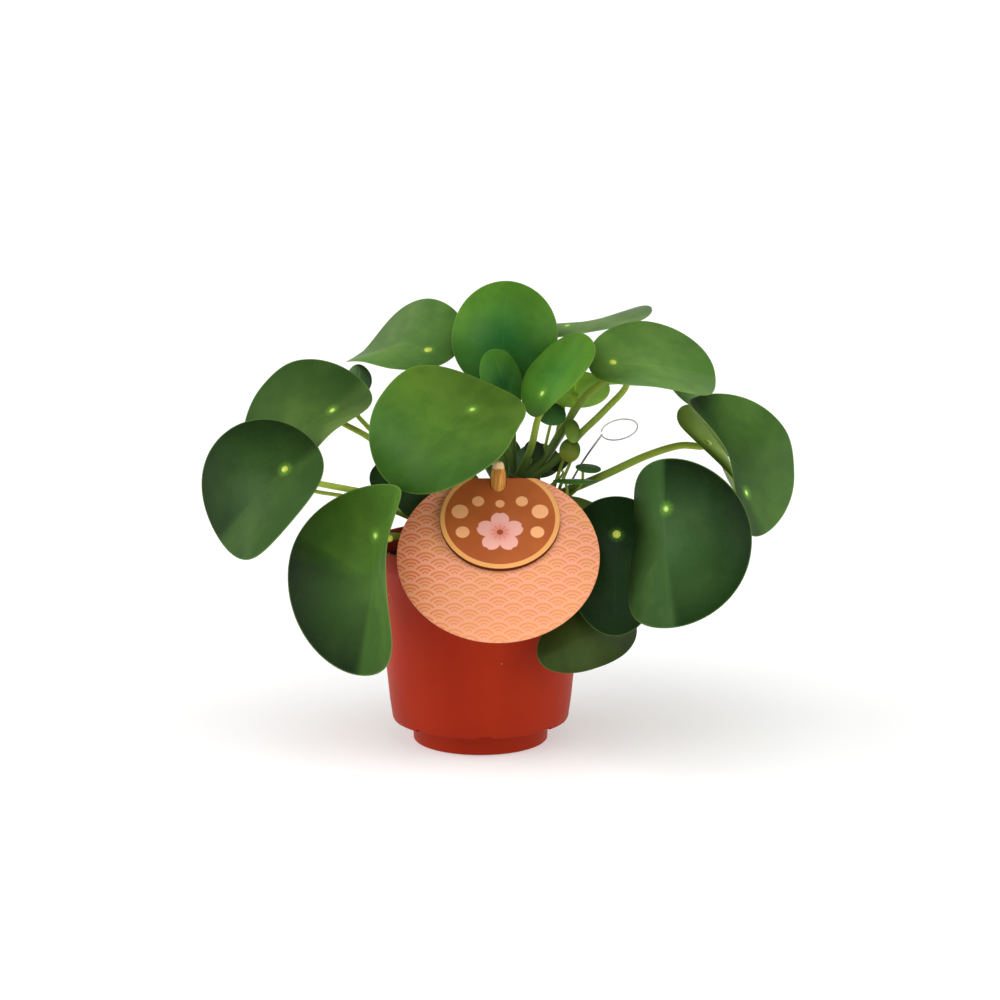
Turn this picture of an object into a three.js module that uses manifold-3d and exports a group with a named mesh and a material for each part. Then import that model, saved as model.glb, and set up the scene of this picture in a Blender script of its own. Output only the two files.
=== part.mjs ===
// A potted Chinese money plant (Pilea peperomioides): a red plastic nursery
// pot full of soil, one leafy stem with its round leaves on long petioles,
// small offsets at its foot, and a round card label that leans on the pot's
// rim and hangs on a wooden peg. Millimetres, +Z up, origin at the middle of
// the pot's foot.

import * as THREE from "three";
import { mergeVertices } from "three/addons/utils/BufferGeometryUtils.js";
import Module from "manifold-3d";

const wasm = await Module();
wasm.setup();

// ---------------------------------------------------------------- sizes

const CLEAR = 0.3;                    // gap between pieces that touch

const POT_HEIGHT = 110;
const POT_WALL = 1.6;
const FOOT_RADIUS = 36.8;             // the stepped-in foot
const FOOT_HEIGHT = 12;
const BODY_RADIUS_LOW = 48.3;         // body wall just above the foot
const BODY_RADIUS_BELLY = 50.6;       // where the low curve ends, z = 32
const BELLY_Z = 32;
const BODY_RADIUS_TOP = 57.2;         // under the rim band
const RIM_RADIUS = 60;
const RIM_BAND = 11;                  // height of the rim band
const DRAIN_SLOTS = 8;
const DRAIN_WIDTH = 7;
const DRAIN_RISE = 1.5;               // how far a slot nicks the body wall

const SOIL_TOP = 99;
const SOIL_CROWN = 2.5;               // how much the soil rises to its middle

const BLADE_THICKNESS = 1.2;
const BLADE_SIDES = 22;
const BLADE_RINGS = 3;
const SMALL_BLADE_SIDES = 14;
const SMALL_BLADE_RINGS = 2;

const PETIOLE_SIDES = 6;
const PETIOLE_STEPS = 8;
const SMALL_PETIOLE_STEPS = 5;

const TAG_RADIUS = 52.8;
const TAG_THICKNESS = 1.2;
const TAG_CENTRE = [9.8, -57, 113.3];
const TAG_TILT = 45.2;                 // its face looks this far above level
const BADGE_RADIUS = 31.5;
const BADGE_THICKNESS = 3;
const TAG_TRIM = 48.8;                // the top edge is cut straight here, above its centre
const BADGE_TRIM = 46.8;
const BADGE_AT = [0.9, 21.2];          // badge centre on the tag's face, right and up

const PEG_AT = [9.8, -29.1];
const PEG_BOTTOM = 58;
const PEG_SHOULDER = 151;
const PEG_TOP = 158.3;
const PEG_RADII = [3.4, 4, 2.7];     // point in the soil, shoulder, top

const WIRE_RADIUS = 0.7;
const WIRE_STALK = [[30, 16, 64], [36, 15, 100], [44, 14, 128], [55.5, 12, 151], [66, 8.6, 167]];
const WIRE_RING = [75.5, 10, 169.5];  // its middle
const WIRE_RING_HALF = [10, 5.2];     // half-length and half-width
const WIRE_RING_TURN = 14;            // its long axis, above level

// ------------------------------------------------------------ utilities

const rad = THREE.MathUtils.degToRad;
const V = (x, y, z) => new THREE.Vector3(x, y, z);

function toSolid(geometry) {
  let g = geometry.index ? geometry.toNonIndexed() : geometry.clone();
  g.deleteAttribute("normal");
  g.deleteAttribute("uv");
  g = mergeVertices(g, 1e-4);
  return new wasm.Manifold(new wasm.Mesh({
    numProp: 3,
    vertProperties: new Float32Array(g.attributes.position.array),
    triVerts: new Uint32Array(g.index.array),
  }));
}

function toGeometry(solid) {
  const m = solid.getMesh();
  const g = new THREE.BufferGeometry();
  g.setAttribute("position", new THREE.BufferAttribute(new Float32Array(m.vertProperties), 3));
  g.setIndex(new THREE.BufferAttribute(new Uint32Array(m.triVerts), 1));
  return g;
}

// A closed turned solid: profile points [radius, z] run up the outside.
function turned(profile, segments) {
  const g = new THREE.LatheGeometry(profile.map(([r, z]) => new THREE.Vector2(r, z)), segments);
  g.rotateX(Math.PI / 2);
  return outward(g);
}

// Flip a solid whose faces point in, so that every solid's faces point out.
function outward(geometry) {
  let g = geometry.index ? geometry.toNonIndexed() : geometry.clone();
  g.deleteAttribute("normal");
  g.deleteAttribute("uv");
  const p = g.attributes.position;
  const a = V(), b = V(), c = V();
  let volume = 0;
  for (let i = 0; i < p.count; i += 3) {
    a.fromBufferAttribute(p, i); b.fromBufferAttribute(p, i + 1); c.fromBufferAttribute(p, i + 2);
    volume += a.dot(b.cross(c));
  }
  g = mergeVertices(g, 1e-4);
  const keep = [];
  const q = g.index.array;
  for (let i = 0; i < q.length; i += 3) {
    if (q[i] === q[i + 1] || q[i + 1] === q[i + 2] || q[i] === q[i + 2]) continue;
    if (volume < 0) keep.push(q[i], q[i + 2], q[i + 1]);
    else keep.push(q[i], q[i + 1], q[i + 2]);
  }
  g.setIndex(keep);
  return g;
}

// A round tube along a curve, its radius running through the given list.
function tube(curve, radii, steps, sides) {
  const frames = curve.computeFrenetFrames(steps, false);
  const position = [], index = [];
  for (let i = 0; i <= steps; i++) {
    const s = i / steps;
    const at = curve.getPointAt(s);
    const f = s * (radii.length - 1), k = Math.min(Math.floor(f), radii.length - 2);
    const r = THREE.MathUtils.lerp(radii[k], radii[k + 1], f - k);
    for (let j = 0; j < sides; j++) {
      const w = (j / sides) * 2 * Math.PI;
      const p = at.clone()
        .addScaledVector(frames.normals[i], r * Math.cos(w))
        .addScaledVector(frames.binormals[i], r * Math.sin(w));
      position.push(p.x, p.y, p.z);
    }
  }
  for (let i = 0; i < steps; i++) {
    for (let j = 0; j < sides; j++) {
      const a = i * sides + j, b = i * sides + (j + 1) % sides;
      index.push(a, b, a + sides, b, b + sides, a + sides);
    }
  }
  for (let j = 1; j < sides - 1; j++) {
    index.push(0, j + 1, j);
    const t = steps * sides;
    index.push(t, t + j, t + j + 1);
  }
  const g = new THREE.BufferGeometry();
  g.setAttribute("position", new THREE.Float32BufferAttribute(position, 3));
  g.setIndex(index);
  return outward(g);
}

const smooth = (x) => { const s = THREE.MathUtils.clamp(x, 0, 1); return s * s * (3 - 2 * s); };

// ---------------------------------------------------------- leaf blades

// A blade lies flat as an egg of half-width a and half-length b whose middle
// is `lead` in front of the petiole's spot. It is then bent along its midrib,
// curled down (or up) on each side, and folded towards its tip.
function bladePoint(leaf, u, v, rho) {
  const [a, b] = leaf.half;
  const k = rad(u < 0 ? leaf.curl[0] : leaf.curl[1]) / a || 1e-6;
  const kv = rad(leaf.bend) / (2 * b) || 1e-6;
  const fold = rad(leaf.fold || 0) * smooth(v / (0.6 * b));
  const w = Math.abs(u);
  const x = Math.sign(u) * (Math.sin(fold + k * w) - Math.sin(fold)) / k;
  let z = (Math.cos(fold + k * w) - Math.cos(fold)) / k;
  const t = Math.atan2(u / a, (v - leaf.lead) / b);
  z += (leaf.wave || 0) * rho ** 4 * Math.sin(3 * t + (leaf.phase || 0));
  const s = Math.sin(kv * v), c = Math.cos(kv * v);
  return V(x, s / kv + z * s, -(1 - c) / kv + z * c);
}

function bladeFlat(leaf, rho, t) {
  const [a, b] = leaf.half;
  return [
    rho * a * Math.sin(t) * (1 + (leaf.egg || 0) * Math.cos(t)),
    leaf.lead + rho * b * Math.cos(t),
  ];
}

function bladeGeometry(leaf, sides, rings) {
  const mid = [], top = [], bottom = [], index = [];
  const at = (rho, t) => {
    const [u, v] = bladeFlat(leaf, rho, t);
    return bladePoint(leaf, u, v, rho);
  };
  const normalAt = (rho, t) => {
    const [u, v] = bladeFlat(leaf, rho, t);
    const h = 0.05;
    const du = bladePoint(leaf, u + h, v, rho).sub(bladePoint(leaf, u - h, v, rho));
    const dv = bladePoint(leaf, u, v + h, rho).sub(bladePoint(leaf, u, v - h, rho));
    return du.cross(dv).normalize();
  };
  const add = (rho, t) => {
    const p = at(rho, t), n = normalAt(rho, t);
    mid.push(p);
    top.push(p.clone().addScaledVector(n, BLADE_THICKNESS / 2));
    bottom.push(p.clone().addScaledVector(n, -BLADE_THICKNESS / 2));
  };
  add(0, 0);
  for (let r = 1; r <= rings; r++) {
    for (let j = 0; j < sides; j++) add(r / rings, (j / sides) * 2 * Math.PI);
  }
  const n = mid.length;
  const face = (a, b, c) => index.push(a, b, c, n + a, n + c, n + b);
  const id = (r, j) => 1 + (r - 1) * sides + (j % sides);
  for (let j = 0; j < sides; j++) {
    face(0, id(1, j), id(1, j + 1));
    for (let r = 1; r < rings; r++) {
      face(id(r, j), id(r + 1, j), id(r + 1, j + 1));
      face(id(r, j), id(r + 1, j + 1), id(r, j + 1));
    }
    const a = id(rings, j), b = id(rings, j + 1);
    index.push(a, n + a, n + b, a, n + b, b);
  }
  const g = new THREE.BufferGeometry();
  g.setAttribute("position", new THREE.Float32BufferAttribute(
    [...top, ...bottom].flatMap((p) => [p.x, p.y, p.z]), 3));
  g.setIndex(index);
  return outward(g);
}

// Heading turns anticlockwise from +X seen from above, dip is how far the
// tip points below level, and roll turns the blade about its midrib.
function bladeFrame(leaf) {
  const h = rad(leaf.heading), d = rad(leaf.dip), r = rad(leaf.roll || 0);
  const tip = V(Math.cos(h) * Math.cos(d), Math.sin(h) * Math.cos(d), -Math.sin(d));
  const up = V(Math.cos(h) * Math.sin(d), Math.sin(h) * Math.sin(d), Math.cos(d));
  const side = tip.clone().cross(up);
  const side2 = side.clone().multiplyScalar(Math.cos(r)).addScaledVector(up, Math.sin(r));
  const up2 = up.clone().multiplyScalar(Math.cos(r)).addScaledVector(side, -Math.sin(r));
  return { tip, up: up2, side: side2 };
}

// The petiole of a leaf, from a point on the stem to just under the blade.
function petioleCurve(leaf, from) {
  const { up } = bladeFrame(leaf);
  const spot = V(...leaf.at);
  const end = spot.clone().addScaledVector(up, -(BLADE_THICKNESS / 2 + CLEAR + 0.1));
  const reach = from.distanceTo(spot);
  const hook = spot.clone().addScaledVector(up, -(leaf.hook || Math.min(22, 0.25 * reach)));
  const via = leaf.via ? leaf.via.map((p) => V(...p)) : [from.clone().lerp(hook, 0.5).add(V(0, 0, 0.03 * reach))];
  return new THREE.CatmullRomCurve3([from, ...via, hook, end], false, "centripetal");
}

// ------------------------------------------------------------ the plant

// The stem leans to the right as it leaves the soil. Short side shoots leave
// it just above the soil and carry the small leaves.
const STEM = [[-2, 6, 62], [-1, 5, 96], [5, 4, 114], [14, 3, 130], [20, 2, 146]];
const STEM_RADII = [6, 6, 5.5, 5, 4];
const SOIL_SHARE = 0.42;              // part of the stem's length in the soil
const SHOOTS = {
  right: [[0, 5, 105], [14, 2, 108], [28, -2, 114], [38, -4, 124]],
  back: [[0, 5, 105], [12, 9, 109], [24, 12, 118], [30, 12, 130]],
  left: [[0, 5, 105], [-12, 2, 107], [-24, -4, 111], [-32, -8, 118]],
};
const SHOOT_RADII = [3, 2.6, 1.8];

// at: the petiole's spot on the blade; half: half-width, half-length;
// root: where the petiole leaves the stem, 0 at the soil to 1 at its top;
// stalk: the petiole's radius; via: points that it passes; hook: how far
// under the blade it turns straight up to the spot.
const LEAVES = [
  { name: "leaf_01", at: [-102, -46, 158], heading: 186, dip: 39, roll: 38, half: [41, 37], lead: 16, bend: 40, curl: [-21, -28], fold: 0, egg: 0.05, wave: 0.8, phase: 1, root: 0.3, stalk: 1.8, hook: 9 },
  { name: "leaf_02", at: [-80, 6, 181], heading: 188, dip: 32, roll: 28, half: [42, 40], lead: 17, bend: 15, curl: [-48, -45], fold: 5, egg: -0.02, wave: 0.6, phase: 2, root: 0.35, stalk: 1.8, hook: 9, via: [[-60, 4, 166]] },
  { name: "leaf_03", at: [-66, 30, 191], heading: 100, dip: -60, roll: 0, half: [7, 9], lead: 4, bend: 20, curl: [20, 20], wave: 0.4, phase: 2, root: 0.2, stalk: 1.4, hook: 6, via: [[-60, 14, 169], [-70, 24, 180]] },
  { name: "leaf_04", at: [-29, 42, 210], heading: 145, dip: -9, roll: 22, half: [34, 34], lead: 17, bend: 45, curl: [-11, -40], fold: -4, egg: -0.02, wave: 0.6, phase: 0, root: 0.75 },
  { name: "leaf_05", at: [12, 24, 207], heading: 75, dip: -83, roll: 0, half: [30, 30.5], lead: 12, bend: 25, curl: [6, 20], fold: 2, egg: 0, wave: 0.5, phase: 3, root: 0.9 },
  { name: "leaf_06", at: [14, 2, 188], heading: 138, dip: -76, roll: 8, half: [13.5, 18.5], lead: 9, bend: 22, curl: [22, 3], fold: -3, egg: 0.06, wave: 0.3, phase: 0, root: 1, stalk: 1.6 },
  { name: "leaf_07", at: [33, -16, 193], heading: 1, dip: -52, roll: -28, half: [26.5, 26], lead: 13, bend: 8, curl: [0, -30], fold: 3, egg: 0.03, wave: 0.5, phase: 2, root: 0.95, stalk: 1.9, hook: 4, via: [[27, -5, 161], [31, -12, 179]] },
  { name: "leaf_08", at: [-4, -30, 187], heading: 219, dip: 28, roll: 16, half: [44, 41], lead: 20, bend: 27, curl: [-27, -47], fold: 8, egg: -0.08, wave: 0.6, phase: 4, root: 0.85 },
  { name: "leaf_09", at: [71, -6, 209], heading: 2, dip: 4, roll: -38, half: [36, 35], lead: 21.5, bend: 19, curl: [14, -49], fold: -2, egg: 0.04, wave: 0.6, phase: 1, root: 0.85, stalk: 1.9, hook: 7, via: [[44, 6, 156], [54, 4, 168], [67, 3, 181], [79, 3, 196]] },
  { name: "leaf_10", at: [48, 50, 221], heading: 2, dip: -9, roll: -3, half: [24, 34], lead: 14, bend: -8, curl: [10, 10], fold: 0, egg: 0, wave: 1.2, phase: 3, root: 0.95, via: [[35, 14, 154], [43, 26, 164], [46, 54, 186]] },
  { name: "leaf_11", at: [103, 32, 210], heading: 330, dip: 50, roll: 0, half: [20, 28], lead: 8, bend: 20, curl: [15, 15], fold: 0, egg: 0, wave: 0.5, phase: 3, root: 0.75, stalk: 2, hook: 9, via: [[35, 7, 155], [45, 9, 170], [58, 9, 189], [80, 14, 203]] },
  { name: "leaf_12", at: [142, -24, 141], heading: 151, dip: -65, roll: 0, half: [46, 41], lead: 17, bend: 20, curl: [-38, -36], fold: -5, egg: 0, wave: 0.6, phase: 0, root: 0.15, hook: 9, via: [[60, -2, 121], [110, -8, 128]] },
  { name: "leaf_13", at: [126, 26, 161], heading: 36, dip: 32, roll: -22, half: [36.5, 36.5], lead: 16, bend: 56, curl: [-26, 24], fold: 8, egg: 0.02, wave: 0.5, phase: 2, root: 0.5, stalk: 2.2, hook: 4, via: [[63, 7, 143], [92, 14, 155], [110, 21, 159]] },
  { name: "leaf_14", at: [95, -80, 143], heading: 265, dip: 70, roll: -28, half: [45.5, 43.5], lead: 17.5, bend: 10, curl: [41, 80], fold: -4, egg: 0.03, wave: 0.6, phase: 5, root: 0.35, hook: 14, via: [[66, -8, 128], [104, -38, 134]] },
  { name: "leaf_15", at: [72, -40, 122], heading: 265, dip: 58, roll: -1, half: [27, 38.5], lead: 16, bend: 42, curl: [24, 4], fold: -4, egg: -0.1, wave: 0.6, phase: 1, root: 0.3, hook: 10, via: [[42, -12, 122]] },
  { name: "leaf_16", at: [70, -38, 73], heading: 230, dip: 8, roll: 62, half: [18.5, 36], lead: 14, bend: 50, curl: [5, -10], fold: 15, egg: -0.05, wave: 0.6, phase: 2, root: 0.12, stalk: 1.8, hook: 5, via: [[34, -14, 121], [58, -24, 116], [59, -24, 97]] },
  { name: "leaf_17", at: [-54, -60, 125], heading: 260, dip: 70, roll: -33, half: [51.5, 50], lead: 23, bend: 0, curl: [-74, -37], fold: 1, egg: -0.08, wave: 0.6, phase: 0, root: 0.15, hook: 10, via: [[-24, -12, 114], [-50, -34, 119]] },
  { name: "leaf_18", at: [52, 32, 186], heading: 270, dip: -40, roll: 0, half: [19, 20], lead: 6, bend: 10, curl: [10, 10], wave: 0.4, phase: 0, root: 0.8, stalk: 1.6, hook: 9, via: [[35, 20, 153], [44, 26, 167]] },
  { name: "leaf_19", at: [-97, -6, 144], heading: 200, dip: 45, roll: 10, half: [15, 15], lead: 7, bend: 20, curl: [10, 10], wave: 0.5, phase: 0, root: 0.1, stalk: 1.2, hook: 7, via: [[-62, 0, 132]] },
  // behind the plant, as full as its front
  { name: "leaf_20", at: [20, 62, 196], heading: 85, dip: 20, roll: 0, half: [30, 30], lead: 11, bend: 25, curl: [15, 20], fold: 4, wave: 0.8, phase: 1, root: 0.85, via: [[12, 34, 162]] },
  { name: "leaf_21", at: [-30, 74, 152], heading: 115, dip: 40, roll: 10, half: [34, 33], lead: 13, bend: 25, curl: [20, 15], fold: 5, egg: -0.02, wave: 0.8, phase: 2, root: 0.55, via: [[-8, 36, 142]] },
  { name: "leaf_22", at: [91, 71, 198], heading: 45, dip: 5, roll: -5, half: [28, 28], lead: 10, bend: 15, curl: [15, 15], fold: 4, wave: 0.8, phase: 3, root: 0.6, hook: 8, via: [[36, 26, 152], [46, 42, 164], [62, 62, 186]] },
  { name: "leaf_23", at: [52, 84, 102], heading: 70, dip: 66, roll: 5, half: [36, 35], lead: 14, bend: 25, curl: [25, 20], fold: 8, egg: -0.03, wave: 0.8, phase: 4, root: 0.35, via: [[30, 44, 120]] },
  { name: "leaf_24", at: [-73, 52, 99], heading: 150, dip: 62, roll: -8, half: [30, 30], lead: 12, bend: 25, curl: [20, 25], fold: 8, wave: 0.8, phase: 5, root: 0.25, via: [[-36, 28, 120], [-60, 44, 118]] },
  { name: "leaf_25", at: [-18, 86, 106], heading: 105, dip: 74, roll: 0, half: [31, 30], lead: 12, bend: 20, curl: [25, 25], fold: 8, wave: 0.8, phase: 0, root: 0.15, via: [[-6, 40, 120], [-10, 66, 121]] },
  // small leaves of the side shoots
  { name: "small_01", at: [48, -4, 157.5], heading: 80, dip: -72, roll: 0, half: [5.8, 6.6], lead: 3, bend: 15, curl: [15, 15], shoot: "right", root: 1, stalk: 0.9 },
  { name: "small_02", at: [50, -3, 169], heading: 100, dip: -60, roll: 0, half: [4.2, 7], lead: 2, bend: 15, curl: [15, 15], shoot: "right", root: 0.9, stalk: 0.9 },
  { name: "small_03", at: [55.5, 0, 150.5], heading: 10, dip: 2, roll: -15, half: [6, 7], lead: 3, bend: 12, curl: [12, 12], shoot: "right", root: 0.85, stalk: 0.9 },
  { name: "small_04", at: [46, -10, 145.2], heading: 352, dip: -2, roll: 0, half: [8, 12], lead: 5, bend: 10, curl: [10, 10], shoot: "right", root: 0.7, stalk: 0.9 },
  { name: "small_05", at: [39, 2, 177], heading: 100, dip: -50, roll: 0, half: [8, 7.5], lead: 3, bend: 15, curl: [15, 15], shoot: "back", root: 1, stalk: 0.9 },
  { name: "small_06", at: [15, 44, 146], heading: 95, dip: -65, roll: 0, half: [8.5, 12], lead: 3, bend: 15, curl: [15, 15], shoot: "back", root: 0.9, stalk: 0.8 },
  { name: "small_07", at: [32, 34, 146], heading: 95, dip: -55, roll: 0, half: [13, 11], lead: 3, bend: 15, curl: [15, 15], shoot: "back", root: 0.8, stalk: 0.8 },
  { name: "small_08", at: [42, 16, 148], heading: 45, dip: -50, roll: 0, half: [5.5, 6], lead: 3, bend: 15, curl: [15, 15], shoot: "back", root: 0.95, stalk: 0.8 },
  { name: "small_09", at: [-51, 6, 140.5], heading: 100, dip: -60, roll: 0, half: [9, 10], lead: 3, bend: 15, curl: [15, 15], shoot: "left", root: 1, stalk: 1 },
  { name: "small_10", at: [-30, -21, 136], heading: 100, dip: -62, roll: 0, half: [15, 14], lead: 3, bend: 15, curl: [15, 15], shoot: "left", root: 0.85, stalk: 1 },
  { name: "small_11", at: [29.5, 4, 158], heading: 100, dip: -50, roll: 0, half: [5.5, 6], lead: 2, bend: 15, curl: [15, 15], shoot: "back", root: 0.6, stalk: 1 },
];

// ---------------------------------------------------------- build lists

const group = new THREE.Group();

const MATERIALS = {
  pot: new THREE.MeshStandardMaterial({ color: 0x9a2d16, roughness: 0.45, metalness: 0 }),
  soil: new THREE.MeshStandardMaterial({ color: 0x2e221a, roughness: 0.95, metalness: 0 }),
  stem: new THREE.MeshStandardMaterial({ color: 0x7e8f2c, roughness: 0.5, metalness: 0 }),
  leaf: new THREE.MeshStandardMaterial({ color: 0x35602a, roughness: 0.4, metalness: 0 }),
  shoot: new THREE.MeshStandardMaterial({ color: 0x4a5f2c, roughness: 0.5, metalness: 0 }),
  card: new THREE.MeshStandardMaterial({ color: 0xeb9c76, roughness: 0.6, metalness: 0 }),
  badge: new THREE.MeshStandardMaterial({ color: 0xa54b1a, roughness: 0.5, metalness: 0 }),
  wood: new THREE.MeshStandardMaterial({ color: 0xb8763a, roughness: 0.7, metalness: 0 }),
  wire: new THREE.MeshStandardMaterial({ color: 0x9a9c98, roughness: 0.35, metalness: 0.9 }),
};

function addMesh(name, geometry, material, place) {
  const g = geometry.clone();
  g.computeVertexNormals();
  const mesh = new THREE.Mesh(g, MATERIALS[material]);
  mesh.name = name;
  if (place) place(mesh);
  group.add(mesh);
  return mesh;
}

// pot
const potOuter = [
  [0, 0], [FOOT_RADIUS, 0], [FOOT_RADIUS + 0.6, FOOT_HEIGHT],
  [BODY_RADIUS_LOW - 0.6, FOOT_HEIGHT], [BODY_RADIUS_LOW, FOOT_HEIGHT + 0.8],
  [BODY_RADIUS_LOW + 1.4, FOOT_HEIGHT + 11], [BODY_RADIUS_BELLY, BELLY_Z],
  [BODY_RADIUS_TOP, POT_HEIGHT - RIM_BAND],
  [RIM_RADIUS - 1, POT_HEIGHT - RIM_BAND], [RIM_RADIUS, POT_HEIGHT],
];
const potInner = [
  [RIM_RADIUS - 2.2, POT_HEIGHT], [RIM_RADIUS - 3.2, POT_HEIGHT - RIM_BAND + 1],
  [BODY_RADIUS_BELLY - POT_WALL, BELLY_Z],
  [BODY_RADIUS_LOW + 1.4 - POT_WALL, FOOT_HEIGHT + 11],
  [BODY_RADIUS_LOW - POT_WALL, FOOT_HEIGHT + POT_WALL],
  [FOOT_RADIUS - POT_WALL + 0.4, FOOT_HEIGHT + POT_WALL], [FOOT_RADIUS - POT_WALL, POT_WALL], [0, POT_WALL],
];
let pot = toSolid(turned([...potOuter, ...potInner], 48));
for (let i = 0; i < DRAIN_SLOTS; i++) {
  const slot = new THREE.BoxGeometry(9, DRAIN_WIDTH, 2 * DRAIN_RISE);
  slot.translate(BODY_RADIUS_LOW - 3, 0, FOOT_HEIGHT);
  slot.rotateZ((i + 0.08) * 2 * Math.PI / DRAIN_SLOTS);
  pot = pot.subtract(toSolid(slot));
}
addMesh("pot", toGeometry(pot), "pot");

// stem and petioles, one grown piece
const smoothCurve = (points) => new THREE.CatmullRomCurve3(points.map((p) => V(...p)), false, "centripetal");
const stemCurve = smoothCurve(STEM);
let stems = toSolid(tube(stemCurve, STEM_RADII, 12, 10));
for (const points of Object.values(SHOOTS)) stems = stems.add(toSolid(tube(smoothCurve(points), SHOOT_RADII, 6, 7)));
for (const leaf of LEAVES) {
  const from = leaf.shoot
    ? smoothCurve(SHOOTS[leaf.shoot]).getPointAt(0.97 * leaf.root)
    : stemCurve.getPointAt(SOIL_SHARE + (0.97 - SOIL_SHARE) * leaf.root);
  const r = leaf.stalk || 2.2;
  const [steps, sides] = leaf.shoot ? [SMALL_PETIOLE_STEPS, PETIOLE_SIDES - 1] : [PETIOLE_STEPS, PETIOLE_SIDES];
  stems = stems.add(toSolid(tube(petioleCurve(leaf, from), [r * 1.25, r, 0.85 * r], steps, sides)));
}
addMesh("plant_stems", toGeometry(stems), "stem");

// blades
for (const leaf of LEAVES) {
  const small = leaf.half[0] < 16;
  const g = bladeGeometry(leaf, small ? SMALL_BLADE_SIDES : BLADE_SIDES, small ? SMALL_BLADE_RINGS : BLADE_RINGS);
  const { tip, up, side } = bladeFrame(leaf);
  addMesh(leaf.name, g, "leaf", (mesh) => {
    mesh.position.set(...leaf.at);
    mesh.quaternion.setFromRotationMatrix(new THREE.Matrix4().makeBasis(side, tip, up));
  });
}

// peg: a tapered stick pushed into the soil
const pegProfile = [[0, PEG_BOTTOM], [1.2, PEG_BOTTOM], [PEG_RADII[0], PEG_BOTTOM + 10],
  [PEG_RADII[1], PEG_SHOULDER], [PEG_RADII[2], PEG_TOP], [0, PEG_TOP]];
const grow = (profile, by) => profile.map(([r, z]) => [r === 0 ? 0 : r + by, z]);
const peg = turned(pegProfile, 14);
peg.translate(PEG_AT[0], PEG_AT[1], 0);
addMesh("peg", peg, "wood");

// label: a round card and a raised round badge on it, both on the peg
const tagTurn = new THREE.Matrix4().makeTranslation(...TAG_CENTRE)
  .multiply(new THREE.Matrix4().makeRotationX(rad(90 - TAG_TILT)));
const pegHole = turned(grow(pegProfile, CLEAR), 14);
pegHole.translate(PEG_AT[0], PEG_AT[1], 0);
const pegHoleSolid = toSolid(pegHole);
const card = turned([[0, 0], [TAG_RADIUS, 0], [TAG_RADIUS, TAG_THICKNESS], [0, TAG_THICKNESS]], 56);
card.applyMatrix4(tagTurn);
const above = (line) => {
  const waste = new THREE.BoxGeometry(2 * TAG_RADIUS, 20, 20);
  waste.translate(0, line + 10, 0);
  waste.applyMatrix4(tagTurn);
  return toSolid(waste);
};
addMesh("tag_disc", toGeometry(toSolid(card).subtract(above(TAG_TRIM)).subtract(pegHoleSolid)), "card");
const badge = turned([[0, 0], [BADGE_RADIUS, 0], [BADGE_RADIUS, BADGE_THICKNESS - 0.6],
  [BADGE_RADIUS - 0.6, BADGE_THICKNESS], [0, BADGE_THICKNESS]], 40);
badge.translate(...BADGE_AT, TAG_THICKNESS + CLEAR);
badge.applyMatrix4(tagTurn);
addMesh("tag_badge", toGeometry(toSolid(badge).subtract(above(BADGE_TRIM)).subtract(pegHoleSolid)), "badge");

// wire: a thin stalk with a ring bent at its end
const wireStalk = new THREE.CatmullRomCurve3(WIRE_STALK.map((p) => V(...p)));
class RingCurve extends THREE.Curve {
  getPoint(t) {
    const w = Math.PI + t * 1.94 * Math.PI, c = rad(WIRE_RING_TURN);
    const x = WIRE_RING_HALF[0] * Math.cos(w), z = WIRE_RING_HALF[1] * Math.sin(w);
    return V(WIRE_RING[0] + x * Math.cos(c) - z * Math.sin(c), WIRE_RING[1] - 1.5 * Math.sin(w / 2),
      WIRE_RING[2] + x * Math.sin(c) + z * Math.cos(c));
  }
}
const wire = toSolid(tube(wireStalk, [WIRE_RADIUS, WIRE_RADIUS], 12, 6))
  .add(toSolid(tube(new RingCurve(), [WIRE_RADIUS, WIRE_RADIUS], 20, 6)));
addMesh("wire_loop", toGeometry(wire), "wire");

// soil, with a hole where each stem and stick goes down
const soilProfile = [
  [0, POT_WALL + CLEAR], [FOOT_RADIUS - POT_WALL - CLEAR, POT_WALL + CLEAR],
  [FOOT_RADIUS - POT_WALL + 0.4 - CLEAR, FOOT_HEIGHT + POT_WALL + CLEAR],
  [BODY_RADIUS_LOW - POT_WALL - CLEAR, FOOT_HEIGHT + POT_WALL + CLEAR],
  [BODY_RADIUS_LOW + 1.4 - POT_WALL - CLEAR - 0.1, FOOT_HEIGHT + 11],
  [BODY_RADIUS_BELLY - POT_WALL - CLEAR, BELLY_Z], [RIM_RADIUS - 3.2 - CLEAR - 0.1, SOIL_TOP - 0.6],
  [46, SOIL_TOP + 0.4], [30, SOIL_TOP + SOIL_CROWN * 0.6], [14, SOIL_TOP + SOIL_CROWN], [0, SOIL_TOP + SOIL_CROWN],
];
let soil = toSolid(turned(soilProfile, 48));
soil = soil.subtract(toSolid(tube(stemCurve, STEM_RADII.map((r) => r + CLEAR), 12, 10)));
soil = soil.subtract(pegHoleSolid);
soil = soil.subtract(toSolid(tube(wireStalk, [WIRE_RADIUS + CLEAR, WIRE_RADIUS + CLEAR], 12, 6)));
addMesh("soil", toGeometry(soil), "soil");

export default group;
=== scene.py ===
# A potted Chinese money plant (Pilea peperomioides): a red plastic nursery pot
# full of soil, a leafy stem with round leaves on long petioles, and a round
# card label that leans on the rim and hangs on a wooden peg. Sizes are in
# millimetres and turned to metres as each piece is finished.
import math
import random

import bpy
import bmesh
from mathutils import Matrix, Vector, noise


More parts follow.
